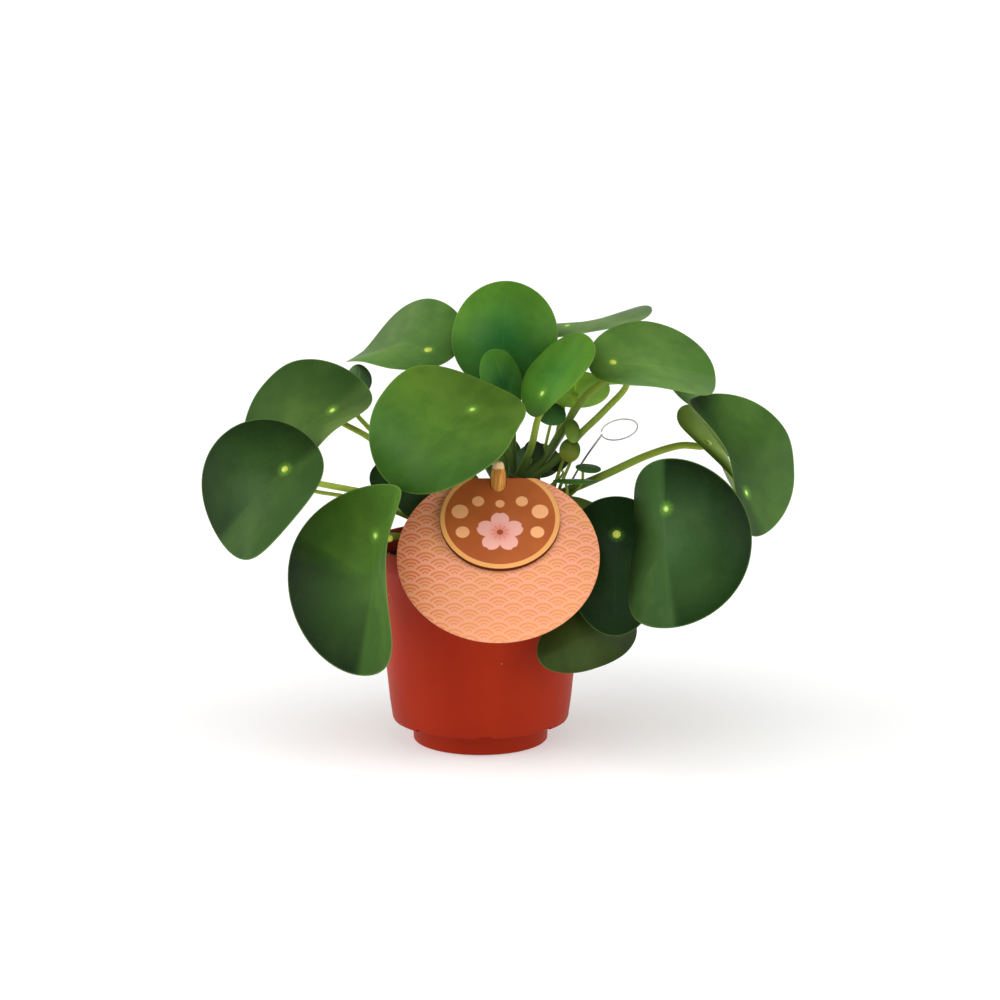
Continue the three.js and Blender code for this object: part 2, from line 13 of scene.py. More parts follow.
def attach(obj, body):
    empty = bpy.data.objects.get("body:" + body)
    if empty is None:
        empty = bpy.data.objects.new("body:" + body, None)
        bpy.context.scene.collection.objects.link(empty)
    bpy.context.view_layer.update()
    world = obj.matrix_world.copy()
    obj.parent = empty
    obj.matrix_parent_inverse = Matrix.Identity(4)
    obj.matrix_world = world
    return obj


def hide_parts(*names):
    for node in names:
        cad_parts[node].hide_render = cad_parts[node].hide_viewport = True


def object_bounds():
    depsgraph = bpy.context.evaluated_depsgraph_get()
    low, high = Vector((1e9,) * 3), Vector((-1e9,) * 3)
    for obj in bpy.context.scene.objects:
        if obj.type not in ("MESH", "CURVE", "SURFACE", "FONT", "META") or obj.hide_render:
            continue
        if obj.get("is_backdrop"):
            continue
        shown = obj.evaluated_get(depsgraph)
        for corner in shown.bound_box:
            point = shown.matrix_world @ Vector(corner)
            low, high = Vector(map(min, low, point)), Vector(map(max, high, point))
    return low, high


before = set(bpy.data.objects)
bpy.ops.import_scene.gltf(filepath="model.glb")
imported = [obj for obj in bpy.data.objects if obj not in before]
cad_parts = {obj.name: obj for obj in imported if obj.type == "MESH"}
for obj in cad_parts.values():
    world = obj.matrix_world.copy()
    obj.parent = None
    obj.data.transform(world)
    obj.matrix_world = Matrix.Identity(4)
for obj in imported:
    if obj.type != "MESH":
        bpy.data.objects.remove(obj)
cad_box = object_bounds()

# ---------------------------------------------------------------- camera
# The photograph is taken with a long lens from a little above the pot's rim,
# looking slightly down.
CAMERA_AT, CAMERA_DOWN = (0.0107, -1.33, 0.3814), 10.6

camera = bpy.data.objects.new("camera", bpy.data.cameras.new("camera"))
bpy.context.scene.collection.objects.link(camera)
camera.data.sensor_width, camera.data.lens = 36, 90
camera.data.clip_start, camera.data.clip_end = 0.05, 60
camera.location = CAMERA_AT
camera.rotation_euler = (math.radians(90 - CAMERA_DOWN), 0, 0)
bpy.context.scene.camera = camera

# ---------------------------------------------------------------- floor and light
# A white studio floor that runs to a white horizon, one very large soft light
# above the camera and a softer one at each side. A finish, here the floor's
# paint, is a material whose varying values are written as sums.


class Value:
    """A socket that can be added to, multiplied and so on."""

    def __init__(self, finish, socket):
        self.finish, self.socket = finish, socket

    def math(self, operation, *others):
        sockets = dict(enumerate((self, *others)))
        return self.finish.node("ShaderNodeMath", {"operation": operation}, sockets)

    def __add__(self, other):
        return self.math("ADD", other)

    __radd__ = __add__

    def __mul__(self, other):
        return self.math("MULTIPLY", other)

    __rmul__ = __mul__

    def __sub__(self, other):
        return self.math("SUBTRACT", other)

    def __rsub__(self, other):
        return self.finish.node("ShaderNodeMath", {"operation": "SUBTRACT"}, {0: other, 1: self})

    def __truediv__(self, other):
        return self.math("DIVIDE", other)

    def __pow__(self, other):
        return self.math("POWER", other)

    def __lt__(self, other):
        return self.math("LESS_THAN", other)

    def clip(self):
        return self.math("MINIMUM", 1.0).math("MAXIMUM", 0.0)

    def rise(self, low, high):
        """0 at low and 1 at high, with soft ends."""
        return self.finish.node(
            "ShaderNodeMapRange",
            {"interpolation_type": "SMOOTHSTEP", "clamp": True},
            {"Value": self, "From Min": low, "From Max": high},
        )


def colour(text):
    """A colour written as six hex digits, as the shader's linear values."""
    parts = [int(text[i : i + 2], 16) / 255 for i in (0, 2, 4)]
    return tuple(p / 12.92 if p <= 0.04045 else ((p + 0.055) / 1.055) ** 2.4 for p in parts) + (1.0,)


class Finish:
    """One material for one kind of surface."""

    def __init__(self, name, owner=None, **constants):
        self.material = owner or bpy.data.materials.new(name)
        self.material.use_nodes = True
        self.tree = self.material.node_tree
        self.shader = self.tree.nodes["Background" if owner else "Principled BSDF"]
        for socket, value in constants.items():
            self.shader.inputs[socket.replace("_", " ")].default_value = value

    def node(self, kind, settings=None, sockets=None, out=0):
        made = self.tree.nodes.new(kind)
        for key, value in (settings or {}).items():
            if key == "stops":
                ramp = made.color_ramp
                while len(ramp.elements) < len(value):
                    ramp.elements.new(0.5)
                for element, (place, shade) in zip(ramp.elements, value):
                    element.position, element.color = place, shade
            else:
                setattr(made, key, value)
        for key, value in (sockets or {}).items():
            if isinstance(value, Value):
                self.tree.links.new(value.socket, made.inputs[key])
            elif value is not None:
                made.inputs[key].default_value = value
        return Value(self, made.outputs[out])

    def mix(self, share, first, second, blend="MIX"):
        return self.node(
            "ShaderNodeMix",
            {"data_type": "RGBA", "blend_type": blend, "clamp_factor": True},
            {0: share, 6: first, 7: second},
            out=2,
        )

    def read(self, attribute, out="Fac"):
        return self.node("ShaderNodeAttribute", {"attribute_name": attribute}, out=out)

    def place(self, scale=(1, 1, 1)):
        """The piece's own coordinates in metres, stretched."""
        at = self.node("ShaderNodeTexCoord", out="Object")
        return self.node("ShaderNodeMapping", sockets={"Vector": at, "Scale": scale})

    def grain(self, scale, detail=3.0, rough=0.5, at=None):
        sockets = {"Vector": at or self.place(), "Scale": scale, "Detail": detail, "Roughness": rough}
        return self.node("ShaderNodeTexNoise", sockets=sockets)

    def feed(self, socket, value):
        self.tree.links.new(value.socket, self.shader.inputs[socket])

    def bump(self, height, depth, strength=1.0):
        sockets = {"Strength": strength, "Distance": depth, "Height": height}
        self.feed("Normal", self.node("ShaderNodeBump", sockets=sockets))


def in_scene(name, mesh):
    """An object from a bmesh in metres, which it uses up."""
    data = bpy.data.meshes.new(name)
    mesh.to_mesh(data)
    mesh.free()
    made = bpy.data.objects.new(name, data)
    bpy.context.scene.collection.objects.link(made)
    return made


FLOOR_RADIUS, FLOOR_DROP = 40, 0.0004      # it lies just under the pot, in metres
floor_mesh = bmesh.new()
bmesh.ops.create_circle(floor_mesh, cap_ends=True, segments=96, radius=FLOOR_RADIUS)
floor = in_scene("floor", floor_mesh)
floor.location.z = -FLOOR_DROP
floor_paint = Finish(
    "floor_paint", Base_Color=(0.72, 0.72, 0.72, 1), Roughness=0.9, Specular_IOR_Level=0.1,
    Emission_Color=(1, 1, 1, 1), Emission_Strength=0.36,
)
floor.data.materials.append(floor_paint.material)
floor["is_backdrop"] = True

HORIZON, WALLS = 1.1, 0.42             # how bright the surroundings are, low down and above
world = bpy.data.worlds.new("studio")
bpy.context.scene.world = world
studio = Finish("studio", owner=world, Color=(1, 1, 1, 1))
direction = studio.node("ShaderNodeTexCoord", out="Generated")
height = studio.node("ShaderNodeSeparateXYZ", sockets={0: direction}, out=2)
studio.feed("Strength", height.rise(0.05, 0.3) * (WALLS - HORIZON) + HORIZON)


def sun(name, strength, softness, azimuth, elevation):
    """A soft light from a direction: azimuth 0 is behind the camera, 90 to its right."""
    lamp = bpy.data.lights.new(name, "SUN")
    lamp.energy, lamp.angle = strength, math.radians(softness)
    holder = bpy.data.objects.new(name, lamp)
    a, e = math.radians(azimuth), math.radians(elevation)
    toward = Vector((math.sin(a) * math.cos(e), -math.cos(a) * math.cos(e), math.sin(e)))
    holder.rotation_euler = toward.to_track_quat("Z", "Y").to_euler()
    bpy.context.scene.collection.objects.link(holder)


sun("main", 1.3, 60, -12, 54)
sun("left_side", 1.7, 50, -80, 20)
sun("right_side", 1.2, 50, 80, 20)
bpy.context.scene.view_settings.view_transform = "Standard"

# ---------------------------------------------------------------- pot
# A moulded nursery pot of thin red polypropylene: a stepped-in foot with
# eight drain slots under its shoulder, a flaring wall and a thicker rim band.
POT_HEIGHT = 110
POT_WALL = 1.6
FOOT_RADIUS, FOOT_HEIGHT, FOOT_RECESS = 36.8, 12, 1.2
BODY_RADIUS_LOW = 48.3
BODY_RADIUS_BELLY, BELLY_Z = 50.6, 32
BODY_RADIUS_TOP = 57.2
RIM_RADIUS, RIM_BAND = 60, 11
DRAIN_SLOTS, DRAIN_WIDTH, DRAIN_RISE, DRAIN_DEPTH = 8, 7, 1.5, 9
DRAIN_TURN = 0.08                          # how far round the first slot lies, as a share of their step

DARK_BELOW = 0.07                          # metres, under which the red slowly darkens as painted shade under the body
FLOOR_TOP = FOOT_RECESS + POT_WALL
BAND_Z = POT_HEIGHT - RIM_BAND
pot_profile = [
    (0, FOOT_RECESS), (FOOT_RADIUS - 4, FOOT_RECESS), (FOOT_RADIUS - 3, 0), (FOOT_RADIUS - 0.5, 0),
    (FOOT_RADIUS, 0.5), (FOOT_RADIUS + 0.5, FOOT_HEIGHT - 0.6), (FOOT_RADIUS + 0.9, FOOT_HEIGHT),
    (BODY_RADIUS_LOW - 1.3, FOOT_HEIGHT), (BODY_RADIUS_LOW - 0.4, FOOT_HEIGHT + 0.3),
    (BODY_RADIUS_LOW, FOOT_HEIGHT + 1.2), (BODY_RADIUS_LOW + 1.4, FOOT_HEIGHT + 11),
    (BODY_RADIUS_BELLY, BELLY_Z), (BODY_RADIUS_TOP, BAND_Z - 0.5), (BODY_RADIUS_TOP + 0.4, BAND_Z),
    (RIM_RADIUS - 1.3, BAND_Z), (RIM_RADIUS - 1, BAND_Z + 0.4), (RIM_RADIUS, POT_HEIGHT - 0.8),
    (RIM_RADIUS - 0.3, POT_HEIGHT - 0.2), (RIM_RADIUS - 1.1, POT_HEIGHT),
    (RIM_RADIUS - 1.9, POT_HEIGHT - 0.2), (RIM_RADIUS - 2.2, POT_HEIGHT - 0.8),
    (RIM_RADIUS - 3.2, BAND_Z + 1), (BODY_RADIUS_BELLY - POT_WALL, BELLY_Z),
    (BODY_RADIUS_LOW - POT_WALL, FOOT_HEIGHT + POT_WALL),
    (FOOT_RADIUS - POT_WALL, FOOT_HEIGHT + POT_WALL), (FOOT_RADIUS - POT_WALL, FLOOR_TOP), (0, FLOOR_TOP),
]


MM = 0.001
ROUND_EDGES = dict(segments=3, affect="EDGES", profile=0.5, material=-1)


def in_millimetres(name, mesh):
    """An object from a bmesh whose sizes are in millimetres."""
    bmesh.ops.transform(mesh, matrix=Matrix.Scale(MM, 4), verts=mesh.verts)
    return in_scene(name, mesh)


def finished(name, mesh, finish, node, slot):
    """A piece from a bmesh in millimetres, which stands in for one CAD node."""
    piece = in_millimetres(name, mesh)
    piece.data.materials.append(finish.material)
    piece.data.shade_smooth()
    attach(piece, "root")
    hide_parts(node)
    return piece


def turned(profile, steps=144):
    """A solid of revolution about Z from its (radius, height) points."""
    mesh = bmesh.new()
    corners = [mesh.verts.new((r, 0, z)) for r, z in profile]
    edges = [mesh.edges.new(pair) for pair in zip(corners, corners[1:])]
    around = dict(axis=(0, 0, 1), cent=(0, 0, 0), angle=math.tau, steps=steps)
    bmesh.ops.spin(mesh, geom=corners + edges, use_merge=True, **around)
    bmesh.ops.remove_doubles(mesh, verts=mesh.verts, dist=1e-4)
    bmesh.ops.recalc_face_normals(mesh, faces=mesh.faces)
    return mesh


def edges_of(verts):
    """The edges at some vertices, each once and in a fixed order."""
    return list(dict.fromkeys(e for v in verts for e in v.link_edges))


def crisp(piece, degrees=35):
    """Keep the piece's real corners sharp under smooth shading."""
    piece.data.set_sharp_from_angle(angle=math.radians(degrees))


pot_finish = Finish("pot_plastic", IOR=1.46, Specular_IOR_Level=0.1)
cloud = pot_finish.grain(14, 3)
fine = pot_finish.grain(260, 2)
streak = pot_finish.grain(40, 2, at=pot_finish.place((1, 1, 0.06)))
specks = {"Vector": pot_finish.place(), "Scale": 70.0}
speck = pot_finish.node("ShaderNodeTexVoronoi", {"feature": "F1"}, specks)
dust = (1 - speck.rise(0.022, 0.04)) * pot_finish.grain(30, 1).rise(0.58, 0.6)
pot_red = pot_finish.mix((cloud * 0.6 + streak * 0.4).rise(0.3, 0.7), colour("9c2407"), colour("aa2e0b"))
pot_height = pot_finish.node("ShaderNodeSeparateXYZ", sockets={0: pot_finish.place()}, out=2)
# painted shade: the red darkens towards the foot, which lies in shade under the body
low = 1 - pot_height.rise(0.0, DARK_BELOW)
pot_red = pot_finish.mix(low * 0.5, pot_red, colour("7c1a05"))
pot_red = pot_finish.mix(dust * 0.6, pot_red, colour("d9a080"))
pot_finish.feed("Base Color", pot_red)
pot_finish.feed("Roughness", fine * 0.10 + cloud * 0.12 + 0.36)
pot_finish.bump(fine * 0.3 + streak * 0.7, 0.00008, 0.5)

pot_mesh = turned(pot_profile)
pot = finished("pot_shell", pot_mesh, pot_finish, "pot", slot="pot")
slot_mesh = bmesh.new()
for i in range(DRAIN_SLOTS):
    turn = Matrix.Rotation((i + DRAIN_TURN) * math.tau / DRAIN_SLOTS, 4, "Z")
    move = Matrix.Translation((BODY_RADIUS_LOW - 3, 0, FOOT_HEIGHT))
    size = Matrix.Diagonal((DRAIN_DEPTH, DRAIN_WIDTH, 2 * DRAIN_RISE, 1))
    made = bmesh.ops.create_cube(slot_mesh, size=1, matrix=turn @ move @ size)
    bmesh.ops.bevel(slot_mesh, geom=edges_of(made["verts"]), offset=0.7, **ROUND_EDGES)


def cut_away(piece, cutter):
    """Cut one object out of another and drop the cutter."""
    bite = piece.modifiers.new("cut", "BOOLEAN")
    bite.operation, bite.solver, bite.object = "DIFFERENCE", "EXACT", cutter
    graph = bpy.context.evaluated_depsgraph_get()
    cut = bpy.data.meshes.new_from_object(piece.evaluated_get(graph))
    piece.modifiers.clear()
    old, name = piece.data, piece.data.name
    piece.data = cut
    bpy.data.meshes.remove(old)
    cut.name = name
    bpy.data.objects.remove(cutter)


cut_away(pot, in_millimetres("drain_slots", slot_mesh))
pot.data.shade_smooth()
crisp(pot)

# ---------------------------------------------------------------- soil
# Dark peat potting soil, filled to a finger's width under the rim, with
# crumbs and a few pale grains of perlite on top.
SOIL_TOP = 99
SOIL_SWELL = [                             # (radius, rise) of the heap towards its middle
    (54, 0.2), (50, 0.5), (46, 0.7), (41, 1), (36, 1.2), (30, 1.5), (24, 1.8), (18, 2.2), (12, 2.5),
    (6, 2.5), (0, 2.5),
]
CRUMBS, CRUMB_SPREAD, PERLITE_SHARE = 420, 54, 0.06

soil_finish = Finish("potting_soil", Roughness=0.95, Specular_IOR_Level=0.2)
lump = soil_finish.grain(220, 5, 0.65)
soil_colour = soil_finish.mix(lump.rise(0.35, 0.7), colour("1d140e"), colour("4a3626"))
pale = soil_finish.read("pale")
soil_colour = soil_finish.mix(pale, soil_colour, colour("b9ad98"))
soil_finish.feed("Base Color", soil_colour)
soil_finish.bump(lump, 0.0012, 0.9)

soil_profile = [(0, 3.2), (34, 3.2), (34.6, 13.8), (45.6, 14.2), (48, 31), (54.5, 95), (55.6, SOIL_TOP - 0.6)]
soil_profile += [(radius, SOIL_TOP + rise) for radius, rise in SOIL_SWELL]
soil_mesh = turned(soil_profile, 96)
pale_layer = soil_mesh.verts.layers.float.new("pale")
for vertex in soil_mesh.verts:
    if vertex.co.z > SOIL_TOP - 1:
        spot = vertex.co * 0.11
        vertex.co.z += 1.5 * noise.fractal(spot, 0.8, 2.2, 4) - 0.2
crumbs = random.Random(7)
for _ in range(CRUMBS):
    angle, radius = crumbs.uniform(0, math.tau), CRUMB_SPREAD * math.sqrt(crumbs.random())
    size = crumbs.uniform(0.5, 1.5)
    spot = Vector((radius * math.cos(angle), radius * math.sin(angle), SOIL_TOP + 2.1 - radius * 0.028))
    turn = Matrix.Rotation(crumbs.uniform(0, 6), 3, "X")
    stretch = Vector([size * crumbs.uniform(0.6, 1.2) for _ in range(3)])
    shape = Matrix.LocRotScale(spot, turn, stretch)
    made = bmesh.ops.create_icosphere(soil_mesh, subdivisions=1, radius=1, matrix=shape)
    white = 1.0 if crumbs.random() < PERLITE_SHARE else 0.0
    for vertex in made["verts"]:
        vertex[pale_layer] = white
soil = finished("soil_fill", soil_mesh, soil_finish, "soil", slot="soil")

# ---------------------------------------------------------------- stems
# One soft woody stem leans to the right as it leaves the soil; three short
# side shoots leave it at the soil. Each leaf hangs on its own round petiole.
STEM = [(-2, 6, 62), (-1, 5, 96), (5, 4, 114), (14, 3, 130), (20, 2, 146)]
STEM_RADII = [6, 6, 5.5, 5, 4]
PETIOLES_FROM, PETIOLES_TO = 0.42, 0.97    # where on the stem the first and last petiole leave it
SHOOTS = {
    "right": [(0, 5, 105), (14, 2, 108), (28, -2, 114), (38, -4, 124)],
    "back": [(0, 5, 105), (12, 9, 109), (24, 12, 118), (30, 12, 130)],
    "left": [(0, 5, 105), (-12, 2, 107), (-24, -4, 111), (-32, -8, 118)],
}
SHOOT_RADII = [3, 2.6, 1.8]


class Path:
    """A smooth curve through points, measured along its length."""

    def __init__(self, points, steps=24):
        p = [Vector(q) for q in points]
        p = [2 * p[0] - p[1]] + p + [2 * p[-1] - p[-2]]
        self.line = []
        for a, b, c, d in zip(p, p[1:], p[2:], p[3:]):
            s0, s1, s2 = [math.sqrt((y - x).length) for x, y in ((a, b), (b, c), (c, d))]
            t0 = ((b - a) / s0 - (c - a) / (s0 + s1) + (c - b) / s1) * s1
            t1 = ((c - b) / s1 - (d - b) / (s1 + s2) + (d - c) / s2) * s1
            square, cube = 3 * (c - b) - 2 * t0 - t1, 2 * (b - c) + t0 + t1
            for k in range(steps):
                t = k / steps
                self.line.append(b + t0 * t + square * t * t + cube * t ** 3)
        self.line.append(p[-2])
        self.far = [0.0]
        for a, b in zip(self.line, self.line[1:]):
            self.far.append(self.far[-1] + (b - a).length)

    def at(self, share):
        want = min(max(share, 0), 1) * self.far[-1]
        for i in range(1, len(self.far)):
            if self.far[i] >= want:
                step = self.far[i] - self.far[i - 1]
                return self.line[i - 1].lerp(self.line[i], (want - self.far[i - 1]) / step if step else 0)
        return self.line[-1]

    def along(self, share):
        return (self.at(share + 0.004) - self.at(share - 0.004)).normalized()


def stalk(mesh, path, girth, steps, sides, kind=0.0, start=0.0):
    """A round stalk along a path: a ring that is extruded step by step."""
    along = mesh.verts.layers.float.get("along") or mesh.verts.layers.float.new("along")
    woody = mesh.verts.layers.float.get("woody") or mesh.verts.layers.float.new("woody")
    ring = bmesh.ops.create_circle(mesh, segments=sides, radius=1)["verts"]
    edges = edges_of(ring)
    normal = path.along(start).orthogonal().normalized()
    first = edges
    for i in range(steps + 1):
        s = start + (1 - start) * i / steps
        ahead = path.along(s)
        normal = (normal - ahead * normal.dot(ahead)).normalized()
        other = ahead.cross(normal)
        if i:
            grown = bmesh.ops.extrude_edge_only(mesh, edges=edges)["geom"]
            pairs = {}
            new = [g for g in grown if isinstance(g, bmesh.types.BMVert)]
            for v in new:
                for e in v.link_edges:
                    if e.other_vert(v) in ring:
                        pairs[e.other_vert(v)] = v
            ring = [pairs[v] for v in ring]
            edges = [g for g in grown if isinstance(g, bmesh.types.BMEdge)]
            edges = [e for e in edges if e.verts[0] in new and e.verts[1] in new]
        middle, r = path.at(s), girth(s)
        for j, v in enumerate(ring):
            w = math.tau * j / sides
            v.co = middle + (normal * math.cos(w) + other * math.sin(w)) * r
            v[along], v[woody] = s, kind
    for loop in (first, edges):
        bmesh.ops.holes_fill(mesh, edges=loop, sides=0)


def lerp_list(values, s):
    f = s * (len(values) - 1)
    k = min(int(f), len(values) - 2)
    return values[k] + (values[k + 1] - values[k]) * (f - k)


stem_finish = Finish("living_stem", Roughness=0.45, Specular_IOR_Level=0.15)
along, woody = stem_finish.read("along"), stem_finish.read("woody")
mottle = stem_finish.grain(160, 4)
fibre = stem_finish.grain(500, 2)
# painted shade and light: each petiole is darker at the stem, deep in the plant's shade, and brighter towards
# the lit blade
greens = {0: "2f4a1c", 0.3: "56702a", 0.55: "8ea63c", 0.8: "b2c74c", 1: "bccb54"}
stops = [(place, colour(shade)) for place, shade in greens.items()]
green = stem_finish.node("ShaderNodeValToRGB", {"stops": stops}, {0: along + (mottle - 0.5) * 0.25})
green = stem_finish.mix(mottle.rise(0.62, 0.8) * 0.3, green, colour("7a6430"))
bark = stem_finish.mix(mottle.rise(0.35, 0.65), colour("33331a"), colour("5d5230"))
stem_finish.feed("Base Color", stem_finish.mix(woody, green, bark))
stem_finish.feed("Roughness", woody * 0.3 + mottle * 0.15 + 0.32)
stem_finish.bump(fibre * 0.4 + mottle, 0.0003, 0.5)


def knotty(radii, depth, knots, power):
    """A stalk's radius along its length, with the swellings of old leaf scars."""
    return lambda s: lerp_list(radii, s) * (1 + depth * math.sin(knots * s) ** power)


stems_mesh = bmesh.new()
stem_path = Path(STEM)
stalk(stems_mesh, stem_path, knotty(STEM_RADII, 0.05, 52, 5), steps=70, sides=20, kind=1.0)
shoot_paths = {name: Path(points) for name, points in SHOOTS.items()}
for path in shoot_paths.values():
    stalk(stems_mesh, path, knotty(SHOOT_RADII, 0.06, 30, 3), steps=26, sides=12, kind=0.5)

# ---------------------------------------------------------------- leaves
# Round, slightly fleshy blades. The petiole meets each one near its middle,
# where a bright dot shows on top; faint veins run out from the dot, the margin
# is thin and pale, and the underside is a lighter yellow-green.
BLADE_THICKNESS, SMALL_SHARE = 1.2, 0.6    # a small blade is thinner by this share
SMALL_HALF = 16                            # blades narrower than this are small
MARGIN_RING = 0.97                         # where the ring next to the margin lies
ROUNDING_FROM, MARGIN_SHARE = 0.93, 0.28   # where the margin starts to round off, and its thickness
VEINS = 9


def blade(name, at, heading, dip, half, lead, roll=0, bend=0, curl=(0, 0), fold=0, egg=0, wave=0,
          phase=0, crease=0, root=0, stalk=2.2, hook=None, via=None, shoot=None, tone="335a22",
          flush="416b2b", clock=0, sharp=0.62, shift=0, heart=None, flank=None, flank_side=1,
          flank_from=-6, flank_slant=0, back="5f7430", dot=1.0):
    """One leaf, in millimetres and degrees.

    Its petiole meets it at the point at. Its tip points heading round from +X
    and dip below level, and it is rolled about its midrib. It is an oval of
    two half-sizes, more or less egg-shaped, whose middle lies lead in front of
    the petiole; its midrib bends, its sides curl, its tip half folds, its
    margin waves and its midrib may lie in a crease.

    Its petiole leaves the stem, or a side shoot, at root of the way up, passes
    via some points and turns hook below the blade.

    tone is its green and flush the green it drifts to, towards clock
    round from its tip, sharp in how fast and shift in how far; the drift is
    painted light and shade over the leaf's own green, lighter where light falls
    and darker in shade. heart is the green of its middle, flank the painted
    light and sheen on one side of the midrib, beyond flank_from and slanting over
    it, back that of its underside, lighter on some leaves as painted light
    shining through them, and dot how bright its dot is, dimmer on leaves in shade
    as painted shade.
    """
    small = half[0] < SMALL_HALF
    sink = 0.3 if small else 0.7
    h, d, r = math.radians(heading), math.radians(dip), math.radians(roll)
    tip = Vector((math.cos(h) * math.cos(d), math.sin(h) * math.cos(d), -math.sin(d)))
    up = Vector((math.cos(h) * math.sin(d), math.sin(h) * math.sin(d), math.cos(d)))
    side = tip.cross(up)
    side, up = side * math.cos(r) + up * math.sin(r), up * math.cos(r) - side * math.sin(r)
    return dict(locals())
